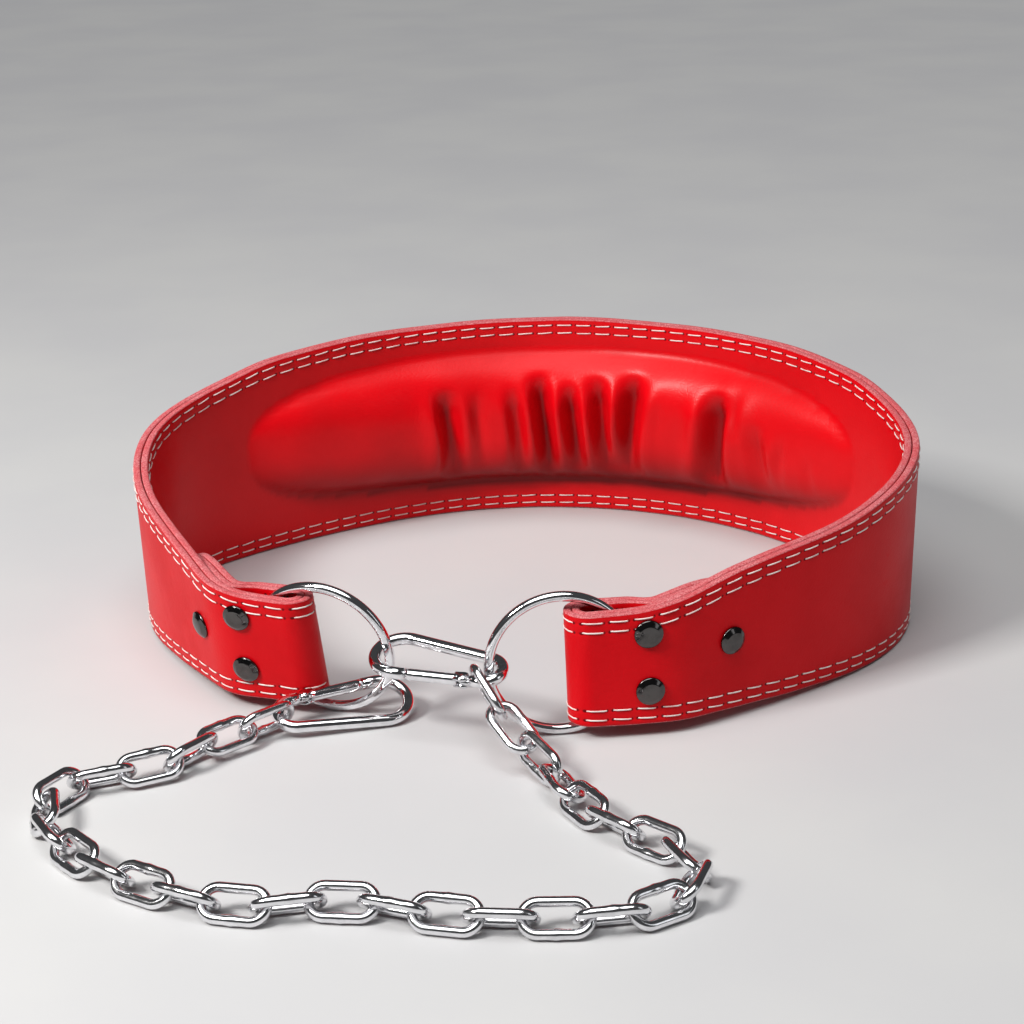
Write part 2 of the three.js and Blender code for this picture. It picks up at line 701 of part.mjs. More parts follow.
// The first hook joins the rings at the middle of their height, with its gate towards the front
function firstHookPlace() {
  const wireOf = (place) => {
    const rise = (FIRST_HOOK_HEIGHT - place.centre.z) / ((RING_RADIUS - RING_WIRE / 2) * place.up.z);
    return ringPoint(place, Math.asin(rise));
  };
  const left = wireOf(ringPlaces.left);
  const right = wireOf(ringPlaces.right);
  const toWide = left.clone().sub(right).normalize();
  const middle = left.clone().add(right).multiplyScalar(0.5);
  middle.addScaledVector(toWide, (HOOK_NARROW_RADIUS - HOOK_WIDE_RADIUS) / 2);
  const level = new THREE.Vector3(0, 0, 1).cross(toWide).normalize();
  const tilt = THREE.MathUtils.degToRad(FIRST_HOOK_TILT);
  const toGate = level.multiplyScalar(Math.cos(tilt)).add(new THREE.Vector3(0, 0, -Math.sin(tilt)));
  return hookPlace(middle, toWide, toGate);
}

// The second hook lies on the floor by its wide end, with its gate over the foot of the left ring
function secondHookPlace() {
  const heading = THREE.MathUtils.degToRad(SECOND_HOOK_HEADING);
  const tilt = THREE.MathUtils.degToRad(SECOND_HOOK_TILT);
  const dip = THREE.MathUtils.degToRad(SECOND_HOOK_DIP);
  const toWide = new THREE.Vector3(
    Math.cos(heading) * Math.cos(dip), Math.sin(heading) * Math.cos(dip), -Math.sin(dip));
  const level = new THREE.Vector3(0, 0, 1).cross(toWide).normalize();
  const steep = toWide.clone().cross(level);
  const toGate = level.multiplyScalar(Math.cos(tilt)).addScaledVector(steep, Math.sin(tilt));
  const overRing = wideTangent.clone().lerp(narrowTangent, 0.5);
  overRing.addScaledVector(gateLine, SECOND_HOOK_SHIFT);
  const middle = ringPoint(ringPlaces.left, THREE.MathUtils.degToRad(SECOND_HOOK_CROSSING - 90));
  middle.addScaledVector(toWide, -overRing.x).addScaledVector(toGate, -overRing.y);
  const lowest = HOOK_WIDE_RADIUS * Math.hypot(toWide.z, toGate.z);
  middle.z = HOOK_WIRE / 2 + lowest - (toWide.z * hookSpan) / 2;
  return hookPlace(middle, toWide, toGate);
}

const hookPlaces = [firstHookPlace(), secondHookPlace()];

function snapHook(number, place) {
  const hook = new THREE.Group();
  hook.applyMatrix4(place);
  hook.add(namedMesh(`hook_${number}_body`, hookBodyGeometry, brightSteel));
  hook.add(namedMesh(`hook_${number}_gate`, hookGateGeometry, brightSteel));
  return hook;
}

// One welded link, lying along X with its width along Y
function linkGeometry() {
  const bend = (LINK_WIDTH - LINK_WIRE) / 2;
  const straight = (LINK_PITCH + LINK_WIRE) / 2 - bend;
  const path = [];
  for (const end of [1, -1]) {
    for (let step = 0; step <= LINK_ARC_STEPS; step += 1) {
      const angle = -Math.PI / 2 + (Math.PI * step) / LINK_ARC_STEPS;
      const forward = straight + bend * Math.cos(angle);
      path.push(new THREE.Vector3(end * forward, end * bend * Math.sin(angle), 0));
    }
  }
  return barGeometry(path, LINK_WIRE / 2, LINK_SIDES, true, new THREE.Vector3(0, 0, 1));
}

// The level direction across a link, and the one square to it and to the link
function levelOf(along) {
  const level = new THREE.Vector3(0, 0, 1).cross(along).normalize();
  return { level, upward: along.clone().cross(level).normalize() };
}

// The roll that puts a link's width square to the hook's wire that it hangs on
function rollRoundWire(along, tangent) {
  const { level, upward } = levelOf(along);
  const width = tangent.clone().cross(along);
  return THREE.MathUtils.radToDeg(Math.atan2(width.dot(upward), width.dot(level)));
}

// An end link: its middle, its direction away from the hook, and the joint with the next link
function endLink(place, wirePoint, wireTangent, towards) {
  const wire = wirePoint.clone().applyMatrix4(place);
  const tangent = wireTangent.clone().transformDirection(place);
  const along = new THREE.Vector3(...towards).sub(wire).normalize();
  const skew = (LINK_WIRE / 2) * Math.abs(along.dot(tangent));
  const reach = (LINK_PITCH - HOOK_WIRE) / 2 - HANG_CLEARANCE - skew;
  return {
    middle: wire.clone().addScaledVector(along, reach),
    along,
    roll: rollRoundWire(along, tangent),
    joint: wire.clone().addScaledVector(along, reach + (LINK_PITCH - LINK_CLEARANCE) / 2),
  };
}

// Joints of the chain: points on the route, each as far from the next as a link allows
function jointsAlong(route, count) {
  const samples = route.getSpacedPoints(ROUTE_SAMPLES);
  const walk = (chord) => {
    const joints = [samples[0]];
    for (const sample of samples) {
      if (joints.length <= count && sample.distanceTo(joints.at(-1)) >= chord) joints.push(sample);
    }
    return joints;
  };
  let low = 0.6 * LINK_PITCH;
  let high = LINK_PITCH - LINK_CLEARANCE;
  for (let trial = 0; trial < CHORD_TRIALS; trial += 1) {
    const middle = (low + high) / 2;
    if (walk(middle).length > count) low = middle;
    else high = middle;
  }
  return walk(low);
}

// The chain: links along the route, each turned a quarter from the one before
function chain() {
  const turn = THREE.MathUtils.degToRad(FIRST_LINK_TURN);
  const onBend = onNarrow(Math.PI / 2 + hookSlant + turn);
  const bendTangent = gateLine.clone().applyAxisAngle(hookAcross, turn);
  const first = endLink(hookPlaces[0], onBend, bendTangent, CHAIN_ROUTE[0]);
  const bendEnd = onNarrow(Math.PI);
  const last = endLink(hookPlaces[1], bendEnd, new THREE.Vector3(0, 1, 0), CHAIN_ROUTE.at(-1));
  const points = [first.joint, ...CHAIN_ROUTE.map((point) => new THREE.Vector3(...point)), last.joint];
  const route = new THREE.CatmullRomCurve3(points, false, 'centripetal');
  route.arcLengthDivisions = ROUTE_SAMPLES / 2;
  const joints = jointsAlong(route, Math.ceil(route.getLength() / (LINK_PITCH - LINK_CLEARANCE)));
  const links = [{ ...first }];
  for (let k = 0; k < joints.length - 1; k += 1) {
    links.push({
      middle: joints[k].clone().add(joints[k + 1]).multiplyScalar(0.5),
      along: joints[k + 1].clone().sub(joints[k]).normalize(),
    });
  }
  links.push({ ...last, along: last.along.clone().negate(), roll: 180 - last.roll });
  const nearest = (roll) => THREE.MathUtils.euclideanModulo(roll - LINK_ROLL + 90, 180) - 90;
  const startTwist = nearest(links[0].roll);
  const endTwist = nearest(links.at(-1).roll - 90 * (links.length - 1));
  const geometry = linkGeometry();
  const chainGroup = new THREE.Group();
  links.forEach((link, k) => {
    const fromStart = Math.max(0, 1 - k / TWIST_LINKS);
    const fromEnd = Math.max(0, 1 - (links.length - 1 - k) / TWIST_LINKS);
    const twist = startTwist * fromStart + endTwist * fromEnd;
    const roll = THREE.MathUtils.degToRad(LINK_ROLL + 90 * k + twist);
    const { level, upward } = levelOf(link.along);
    const wide = level.multiplyScalar(Math.cos(roll)).addScaledVector(upward, Math.sin(roll));
    const mesh = namedMesh(`chain_link_${String(k + 1).padStart(2, '0')}`, geometry, chainSteel);
    mesh.applyMatrix4(new THREE.Matrix4()
      .makeBasis(link.along, wide, link.along.clone().cross(wide)).setPosition(link.middle));
    chainGroup.add(mesh);
  });
  return chainGroup;
}

const group = new THREE.Group();
group.add(outerPly());
group.add(innerPly());
group.add(lumbarPad());
for (const place of rivetList) group.add(rivet(place));
group.add(ring('ring_right', ringPlaces.right));
group.add(ring('ring_left', ringPlaces.left));
hookPlaces.forEach((place, k) => group.add(snapHook(k + 1, place)));
group.add(chain());

// The part's own origin is under the outer ply, at the middle of the back's bottom edge
group.position.set(-BACK_MIDDLE_X, -(BACK_MIDDLE_Y + (PLY_GAP + PLY_THICKNESS) / 2), 0);

export default group;
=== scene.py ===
import json
import math

import bmesh
import bpy
import numpy as np
from mathutils import Matrix, Vector


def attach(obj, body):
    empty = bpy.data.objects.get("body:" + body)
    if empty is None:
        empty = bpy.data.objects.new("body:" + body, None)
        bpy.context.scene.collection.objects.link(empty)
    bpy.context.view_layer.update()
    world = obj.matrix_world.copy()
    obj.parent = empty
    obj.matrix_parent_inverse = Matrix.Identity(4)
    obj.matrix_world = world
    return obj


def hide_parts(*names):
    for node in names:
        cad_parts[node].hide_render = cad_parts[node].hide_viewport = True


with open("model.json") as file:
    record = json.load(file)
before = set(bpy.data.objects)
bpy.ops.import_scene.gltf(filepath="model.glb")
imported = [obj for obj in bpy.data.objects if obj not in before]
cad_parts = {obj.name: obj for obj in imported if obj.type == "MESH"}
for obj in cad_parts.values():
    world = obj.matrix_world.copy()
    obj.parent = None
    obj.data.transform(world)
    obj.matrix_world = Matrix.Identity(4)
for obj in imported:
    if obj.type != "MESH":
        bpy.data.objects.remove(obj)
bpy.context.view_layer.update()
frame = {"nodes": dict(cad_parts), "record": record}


# Outer ply of the strap. One long piece of thick red leather, high at the back and narrow at the
# ends. Each end folds round a ring and runs back inside the strap as a rounded flap.
PLY_THICKNESS = 3.0
PLY_GAP = 0.4
BACK_HEIGHT = 102.0
END_HEIGHT = 47.4
END_RISE = 5.9
RIGHT_LENGTH = 429.0
LEFT_LENGTH = 404.0
BACK_MIDDLE = (19.0, 109.0)
FORWARD_LEAN = 6.0
RING_WIRE = 4.2
RING_CLEARANCE = 1.0
FLAP_LENGTH = 82.0
FLAP_GAP = 0.4
FLAP_INSET = 0.6
TONGUE_START = 30.0
TONGUE_TIP = 3.0
POCKET = (16.0, 29.0)
PLAN_STEPS = 400
STATION_STEP = 1.5
FOLD_STEPS = 24
FLAP_STEPS = 60
# share of the side's length, direction in degrees
RIGHT_TURNS = [(0, 8), (0.25, 46), (0.45, 71.5), (0.6, 114), (0.75, 142), (0.86, 147.5),
               (0.9, 149), (0.955, 173), (1, 174)]
LEFT_TURNS = [(0, -8), (0.255, 27.5), (0.46, 43.5), (0.61, 87), (0.765, 116.5), (0.85, 121.5),
              (0.9, 123), (0.955, 159), (1, 160)]
# share of the side's length, share of the height that the back has over the ends
TOP_EDGE = [(0, 1), (0.25, 0.97), (0.38, 0.9), (0.45, 0.79), (0.52, 0.67), (0.6, 0.56),
            (0.72, 0.38), (0.85, 0.22), (0.92, 0.07), (0.96, 0.01), (1, 0)]

HALF_STRAP = PLY_THICKNESS + PLY_GAP / 2
END_TOP = END_RISE + END_HEIGHT
FOLD_RADIUS = HALF_STRAP + RING_WIRE / 2 + RING_CLEARANCE
FLAP_OFFSET = 2 * HALF_STRAP + FLAP_GAP
ORIGIN = np.array([BACK_MIDDLE[0], BACK_MIDDLE[1] + (PLY_GAP + PLY_THICKNESS) / 2, 0.0])


def ease(value, start, end):
    t = min(1.0, max(0.0, (value - start) / (end - start)))
    return t * t * (3 - 2 * t)


def read_table(rows, at):
    """A smooth curve through a table that never overshoots a row."""
    index = max(0, next((k for k, row in enumerate(rows) if row[0] > at), len(rows) - 1) - 1)

    def slope(k):
        return (rows[k + 1][1] - rows[k][1]) / (rows[k + 1][0] - rows[k][0])

    def bend(k):
        if k in (0, len(rows) - 1):
            return slope(min(k, len(rows) - 2))
        before, after = slope(k - 1), slope(k)
        return 0 if before * after <= 0 else 2 * before * after / (before + after)

    (start, low), (end, high) = rows[index], rows[index + 1]
    span = end - start
    t = min(1.0, max(0.0, (at - start) / span))
    value = (2 * t**3 - 3 * t**2 + 1) * low + (3 * t**2 - 2 * t**3) * high
    return value + span * ((t**3 - 2 * t**2 + t) * bend(index) + (t**3 - t**2) * bend(index + 1))


def side_of_strap(sign, length, turns, end_forward_lean, end_side_lean):
    """One side of the strap: a function that gives the station at a share of its length."""
    points = [np.array(BACK_MIDDLE)]
    for step in range(PLAN_STEPS):
        angle = math.radians(read_table(turns, (step + 0.5) / PLAN_STEPS))
        forward = np.array([sign * math.cos(angle), -math.sin(angle)])
        points.append(points[-1] + forward * length / PLAN_STEPS)

    def place(at):
        step = min(PLAN_STEPS - 1, int(at * PLAN_STEPS))
        angle = math.radians(read_table(turns, at))
        lean = FORWARD_LEAN + (end_forward_lean - FORWARD_LEAN) * ease(at, 0.7, 0.96)
        part = at * PLAN_STEPS - step
        return {
            "centre": points[step] * (1 - part) + points[step + 1] * part,
            "outward": np.array([sign * math.sin(angle), math.cos(angle)]),
            "forward": np.array([sign * math.cos(angle), -math.sin(angle)]),
            "along": sign * at * length,
            "low": END_RISE * ease(at, 0.6, 1),
            "high": END_TOP + (BACK_HEIGHT - END_TOP) * read_table(TOP_EDGE, at),
            "side_slope": math.tan(math.radians(end_side_lean * ease(at, 0.6, 1))),
            "forward_slope": math.tan(math.radians(lean)),
            "flap": 0.0,
        }

    return place, sign, length


def flap_offset(behind):
    """How far inside the strap the flap lies, at a distance behind the fold."""
    return 2 * FOLD_RADIUS + (FLAP_OFFSET - 2 * FOLD_RADIUS) * ease(behind, *POCKET)


def side_stations(side):
    """The stations of one side, its fold and its flap, from the back to the flap's tip."""
    place, sign, length = side
    count = round(length / STATION_STEP)
    stations = [place(k / count) for k in range(count + 1)]
    end = stations[-1]
    axis = end["centre"] - end["outward"] * FOLD_RADIUS
    for k in range(1, FOLD_STEPS + 1):
        angle = math.pi * k / FOLD_STEPS
        outward = end["outward"] * math.cos(angle) + end["forward"] * math.sin(angle)
        centre = axis + outward * FOLD_RADIUS
        stations.append({**end, "centre": centre, "outward": outward, "flap": 0.5})
    for k in range(1, FLAP_STEPS + 1):
        share = math.sin(0.5 * math.pi * k / FLAP_STEPS)
        behind = share * FLAP_LENGTH
        beside = place(1 - behind / length)
        reach = max(0.0, behind - TONGUE_START) / (FLAP_LENGTH - TONGUE_START)
        middle = (beside["low"] + beside["high"]) / 2
        full = (beside["high"] - beside["low"]) / 2 - FLAP_INSET * ease(share, 0, 0.3)
        half = max(TONGUE_TIP, full * math.sqrt(max(0.0, 1 - reach**2)))
        stations.append({
            **beside,
            "centre": beside["centre"] - beside["outward"] * flap_offset(behind),
            "outward": -beside["outward"],
            "low": middle - half,
            "high": middle + half,
            "flap": 1.0,
        })
    return stations


right_side = side_of_strap(1, RIGHT_LENGTH, RIGHT_TURNS, 1.0, 1.5)
left_side = side_of_strap(-1, LEFT_LENGTH, LEFT_TURNS, 10.0, 5.0)
stations = side_stations(left_side)[:0:-1] + side_stations(right_side)
strap = {key: np.array([station[key] for station in stations]) for key in stations[0]}
steps = np.linalg.norm(np.diff(strap["centre"], axis=0), axis=1)
strap["course"] = np.concatenate([[0.0], np.cumsum(steps)])


def strap_column(key, course):
    """A column of the strap's table at places along its course."""
    values = strap[key]
    if values.ndim == 1:
        return np.interp(course, strap["course"], values)
    return np.stack([np.interp(course, strap["course"], values[:, k]) for k in range(2)], axis=-1)


def strap_point(course, offset, height):
    """Points on the strap, in metres: offset from its middle surface, at a height."""
    flat = strap_column("centre", course) + strap_column("outward", course) * offset[..., None]
    x = flat[..., 0] - strap_column("side_slope", course) * height
    y = flat[..., 1] - strap_column("forward_slope", course) * height
    return (np.stack([x, y, height], axis=-1) - ORIGIN) * 0.001


def new_piece(name, vertices, faces, materials, slot_name, body="root"):
    """A mesh piece with smooth faces that ride on a body."""
    mesh = bpy.data.meshes.new(name)
    mesh.from_pydata([tuple(v) for v in vertices], [], faces)
    mesh.validate()
    mesh.shade_smooth()
    for material in materials:
        mesh.materials.append(material)
    piece = bpy.data.objects.new(name, mesh)
    bpy.context.scene.collection.objects.link(piece)
    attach(piece, body)
    return piece


def tidy_normals(piece):
    bm = bmesh.new()
    bm.from_mesh(piece.data)
    bmesh.ops.recalc_face_normals(bm, faces=bm.faces)
    bm.to_mesh(piece.data)
    bm.free()


EDGE_ROUNDING = 0.55
EDGE_POINTS = 4
FACE_ROWS = 42
LOW_WANDER = 0.12
HIGH_WANDER = 0.22
UV_PER_MM = 0.01


def ply_section(outside, inside, bulge):
    """The closed section of a ply at every station: offsets, heights and distance from an edge."""
    course = strap["course"][:, None]
    low = strap["low"][:, None] + LOW_WANDER * np.sin(course * 0.21) * np.sin(course * 0.043)
    high = strap["high"][:, None]
    high = high + HIGH_WANDER * np.sin(course * 0.083) * np.sin(course * 0.031 + 1)
    r = EDGE_ROUNDING
    face = low + r + (high - low - 2 * r) * np.linspace(0, 1, FACE_ROWS)[None, :]
    way = 1 if outside > inside else -1
    rounding = [(0.3 * r, 0.3 * r), (r, 0.0)]
    runs = [(outside, face)]
    runs += [(outside - way * inset, high - drop) for inset, drop in rounding]
    runs += [(inside + way * inset, high - drop) for inset, drop in rounding[::-1]]
    runs += [(inside, face[:, ::-1])]
    runs += [(inside + way * inset, low + drop) for inset, drop in rounding]
    runs += [(outside - way * inset, low + drop) for inset, drop in rounding[::-1]]
    offsets = np.concatenate([offset * np.ones_like(height) for offset, height in runs], axis=1)
    heights = np.concatenate([height for _, height in runs], axis=1)
    offsets = offsets - bulge(strap["along"][:, None], heights) * (strap["flap"][:, None] == 0)
    edge_distance = np.minimum(heights - low, high - heights)
    return offsets, heights, edge_distance


def ply_piece(name, outside, inside, bulge, materials, slot_name):
    """A ply as a closed skin, with the course and the distance from the edge as its coordinates."""
    offsets, heights, edge_distance = ply_section(outside, inside, bulge)
    course = np.repeat(strap["course"][:, None], offsets.shape[1], axis=1)
    points = strap_point(course, offsets, heights)
    count, ring = offsets.shape
    faces = []
    for k in range(count - 1):
        for j in range(ring):
            n = (j + 1) % ring
            faces.append((k * ring + j, (k + 1) * ring + j, (k + 1) * ring + n, k * ring + n))
    faces.append(tuple(range(ring)))
    faces.append(tuple((count - 1) * ring + j for j in range(ring)))
    piece = new_piece(name, points.reshape(-1, 3), faces, materials, slot_name)
    tidy_normals(piece)
    mesh = piece.data
    edge_run = np.zeros(ring, dtype=int)
    edge_run[FACE_ROWS - 1:FACE_ROWS + EDGE_POINTS] = 1
    edge_run[2 * FACE_ROWS + EDGE_POINTS - 1:] = 1
    runs = np.concatenate([np.tile(edge_run, count - 1), [1, 1]])
    mesh.polygons.foreach_set("material_index", runs.astype(np.int32))
    layer = mesh.uv_layers.new(name="strap")
    corners = np.empty(len(mesh.loops), dtype=np.int32)
    mesh.loops.foreach_get("vertex_index", corners)
    both = np.stack([course.reshape(-1), edge_distance.reshape(-1)], axis=1) * UV_PER_MM
    layer.data.foreach_set("uv", both[corners].astype(np.float32).reshape(-1))
    return piece


def node(tree, kind, **sockets):
    """Adds a node and joins or sets its inputs by name, or by number as i0, i1 and so on."""
    made = tree.nodes.new(kind)
    for name, value in sockets.items():
        numbered = name[0] == "i" and name[1:].isdigit()
        socket = made.inputs[int(name[1:]) if numbered else name.replace("_", " ")]
        if isinstance(value, bpy.types.NodeSocket):
            tree.links.new(value, socket)
        else:
            socket.default_value = value
    return made


def math_node(tree, operation, *values, clamp=False):
    made = tree.nodes.new("ShaderNodeMath")
    made.operation = operation
    made.use_clamp = clamp
    for k, value in enumerate(values):
        if isinstance(value, bpy.types.NodeSocket):
            tree.links.new(value, made.inputs[k])
        else:
            made.inputs[k].default_value = value
    return made.outputs[0]


def ramp(tree, value, start, end, low=0.0, high=1.0):
    """Maps a value smoothly from one range to another."""
    made = node(tree, "ShaderNodeMapRange", i0=value, i1=start, i2=end, i3=low, i4=high)
    made.interpolation_type = "SMOOTHSTEP"
    return made.outputs[0]


def blend_colours(tree, share, first, second):
    made = tree.nodes.new("ShaderNodeMix")
    made.data_type = "RGBA"
    for number, value in ((0, share), (6, first), (7, second)):
        if isinstance(value, bpy.types.NodeSocket):
            tree.links.new(value, made.inputs[number])
        elif number == 0:
            made.inputs[number].default_value = value
        else:
            made.inputs[number].default_value = (*value, 1)
    return made.outputs[2]


def new_group(name, inputs, outputs):
    """A node group with named inputs and outputs."""
    tree = bpy.data.node_groups.new(name, "ShaderNodeTree")
    for socket, kind, value in inputs:
        made = tree.interface.new_socket(name=socket, in_out="INPUT", socket_type=kind)
        if value is not None:
            made.default_value = value
    for socket, kind in outputs:
        tree.interface.new_socket(name=socket, in_out="OUTPUT", socket_type=kind)
    return tree, tree.nodes.new("NodeGroupInput").outputs, tree.nodes.new("NodeGroupOutput").inputs


def use_group(tree, group, **sockets):
    made = tree.nodes.new("ShaderNodeGroup")
    made.node_tree = group
    for name, value in sockets.items():
        socket = made.inputs[name.replace("_", " ")]
        if isinstance(value, bpy.types.NodeSocket):
            tree.links.new(value, socket)
        else:
            socket.default_value = value
    return made.outputs


# Grain of the leather: small pebbles cut by fine creases, over a slow mottling of the dye.
PEBBLES_PER_METRE = 950.0
CREASES_PER_METRE = 330.0
grain, g_in, g_out = new_group(
    "leather grain",
    [("Place", "NodeSocketVector", None), ("Pebble size", "NodeSocketFloat", 1.0)],
    [("Height", "NodeSocketFloat"), ("Mottle", "NodeSocketFloat"), ("Scuff", "NodeSocketFloat")])


def grain_noise(scale, **settings):
    noise = node(grain, "ShaderNodeTexNoise", Vector=g_in["Place"], Scale=scale, **settings)
    return noise.outputs[0]


def grain_cells(feature, per_metre):
    finer = math_node(grain, "DIVIDE", per_metre, g_in["Pebble size"])
    cells = node(grain, "ShaderNodeTexVoronoi", Vector=g_in["Place"], Scale=finer)
    cells.feature = feature
    return cells.outputs["Distance"]


pebbles = math_node(grain, "MULTIPLY", grain_cells("F1", PEBBLES_PER_METRE), -0.5)
creases = ramp(grain, grain_cells("DISTANCE_TO_EDGE", CREASES_PER_METRE), 0.0, 0.12, 0.0, 0.35)
cut = math_node(grain, "ADD", pebbles, creases)
pored = math_node(grain, "MULTIPLY_ADD", grain_noise(1900.0, Detail=3.0), 0.35, cut)
wave = grain_noise(55.0, Detail=3.0, Distortion=0.6)
grain.links.new(math_node(grain, "MULTIPLY_ADD", wave, 1.2, pored), g_out["Height"])
mottle = grain_noise(18.0, Detail=4.0, Roughness=0.6)
grain.links.new(ramp(grain, mottle, 0.35, 0.68), g_out["Mottle"])
rub = grain_noise(160.0, Detail=6.0, Roughness=0.7, Distortion=1.2)
grain.links.new(ramp(grain, rub, 0.58, 0.75), g_out["Scuff"])

# Needle holes and the shallow groove of one row of stitches, at a distance from the edge.
STITCH_PITCH = 9.75
STITCH_LENGTH = 7.4
STITCH_ROWS = (3.0, 7.0)
seam, s_in, s_out = new_group(
    "stitch row",
    [("Along", "NodeSocketFloat", 0.0), ("From edge", "NodeSocketFloat", 0.0),
     ("Row", "NodeSocketFloat", 0.03)],
    [("Hole", "NodeSocketFloat"), ("Groove", "NodeSocketFloat")])
pitch = STITCH_PITCH * UV_PER_MM
beside = math_node(seam, "ABSOLUTE", math_node(seam, "SUBTRACT", s_in["From edge"], s_in["Row"]))
phase = math_node(seam, "MODULO", math_node(seam, "DIVIDE", s_in["Along"], pitch), 1.0)
gap_middle = (STITCH_LENGTH + STITCH_PITCH) / 2 / STITCH_PITCH
gap_half = (STITCH_PITCH - STITCH_LENGTH) / 2 / STITCH_PITCH
off_gap = math_node(seam, "ABSOLUTE", math_node(seam, "SUBTRACT", phase, gap_middle))
from_hole = math_node(seam, "ABSOLUTE", math_node(seam, "SUBTRACT", off_gap, gap_half))
run = math_node(seam, "MULTIPLY", from_hole, pitch)
beside_squared = math_node(seam, "MULTIPLY", beside, beside)
hole_distance = math_node(seam, "SQRT", math_node(seam, "MULTIPLY_ADD", run, run, beside_squared))
seam.links.new(ramp(seam, hole_distance, 0.004, 0.0085, 1.0, 0.0), s_out["Hole"])
seam.links.new(ramp(seam, beside, 0.0, 0.013, 1.0, 0.0), s_out["Groove"])


def new_material(name):
    """A material, its node tree, its shader, and the place of a point in the piece."""
    material = bpy.data.materials.new(name)
    material.use_nodes = True
    tree = material.node_tree
    place = tree.nodes.new("ShaderNodeTexCoord").outputs["Object"]
    return material, tree, tree.nodes["Principled BSDF"], place


def leather_material(name, colour, deep_colour, roughness, relief, gloss):
    """Dyed leather with grain, needle holes, stitch grooves and a burnished line at its edges,
    darkened by painted shade where the piece has a 'fold shade' layer and in its needle holes.
    """
    material, tree, shader, place = new_material(name)
    skin = use_group(tree, grain, Place=place, Pebble_size=1.0)
    lay = tree.nodes.new("ShaderNodeUVMap")
    lay.uv_map = "strap"
    along, from_edge, _ = node(tree, "ShaderNodeSeparateXYZ", Vector=lay.outputs[0]).outputs
    rows = [use_group(tree, seam, Along=along, From_edge=from_edge, Row=row * UV_PER_MM)
            for row in STITCH_ROWS]
    hole = math_node(tree, "MAXIMUM", rows[0]["Hole"], rows[1]["Hole"])
    groove = math_node(tree, "MAXIMUM", rows[0]["Groove"], rows[1]["Groove"])
    burnish = ramp(tree, from_edge, 0.004, 0.014, 1.0, 0.0)
    # Painted shade layer, where the piece has one.
    fold = tree.nodes.new("ShaderNodeAttribute")
    fold.attribute_name = "fold shade"
    tint = colour
    for mask, strength, other in (
            (skin["Mottle"], 0.5, deep_colour),
            (skin["Scuff"], 0.1, (0.85, 0.02, 0.02)),
            (burnish, 0.45, (0.3, 0.0, 0.005)),
            # painted shade from the 'fold shade' layer: the creases, the pad's seat and its lower
            # part
            (fold.outputs["Fac"], 0.92, (0.09, 0.0, 0.001)),
            # painted shade in the needle holes
            (hole, 0.85, (0.05, 0.0, 0.002))):
        tint = blend_colours(tree, math_node(tree, "MULTIPLY", mask, strength), tint, other)
    tree.links.new(tint, shader.inputs["Base Color"])
    dull = math_node(tree, "MULTIPLY_ADD", skin["Mottle"], 0.1, roughness)
    rough = math_node(tree, "MULTIPLY_ADD", skin["Scuff"], 0.12, dull)
    tree.links.new(rough, shader.inputs["Roughness"])
    pressed = math_node(tree, "MULTIPLY_ADD", groove, -1.6, skin["Height"])
    height = math_node(tree, "MULTIPLY_ADD", hole, -3.0, pressed)
    bump = node(tree, "ShaderNodeBump", Strength=relief, Distance=0.0003, Height=height)
    tree.links.new(bump.outputs[0], shader.inputs["Normal"])
    shader.inputs["Specular IOR Level"].default_value = gloss
    shader.inputs["Coat Weight"].default_value = 0.02
    shader.inputs["Coat Roughness"].default_value = 0.3
    return material


def raw_edge_material():
    """The cut edge of the hide: paler, fuzzy, with fibres and leftover dye."""
    material, tree, shader, place = new_material("raw leather edge")
    fibre = node(tree, "ShaderNodeTexNoise", Vector=place, Scale=1500.0, Detail=5.0, Roughness=0.75)
    patch = node(tree, "ShaderNodeTexNoise", Vector=place, Scale=90.0, Detail=4.0, Roughness=0.6)
    pale = ramp(tree, fibre.outputs[0], 0.38, 0.62)
    worn = ramp(tree, patch.outputs[0], 0.35, 0.65)
    fuzz = blend_colours(tree, pale, (0.36, 0.025, 0.035), (0.64, 0.22, 0.23))
    dyed = blend_colours(tree, math_node(tree, "MULTIPLY", worn, 0.45), fuzz, (0.5, 0.03, 0.04))
    tree.links.new(dyed, shader.inputs["Base Color"])
    rough = math_node(tree, "MULTIPLY_ADD", pale, 0.15, 0.75)
    tree.links.new(rough, shader.inputs["Roughness"])
    height = math_node(tree, "MULTIPLY_ADD", patch.outputs[0], 1.5, fibre.outputs[0])
    bump = node(tree, "ShaderNodeBump", Strength=0.6, Distance=0.0004, Height=height)
    tree.links.new(bump.outputs[0], shader.inputs["Normal"])
    return material


outer_face = leather_material(
    "outer red leather", (0.62, 0.0006, 0.005), (0.48, 0.0004, 0.003),
    roughness=0.4, relief=0.2, gloss=0.12)
raw_edge = raw_edge_material()


def no_bulge(along, height):
    return np.zeros(np.broadcast(along, height).shape)


outer_leather = ply_piece(
    "outer_leather", HALF_STRAP, PLY_GAP / 2, no_bulge, [outer_face, raw_edge], "outer_leather")
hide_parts("outer_ply")


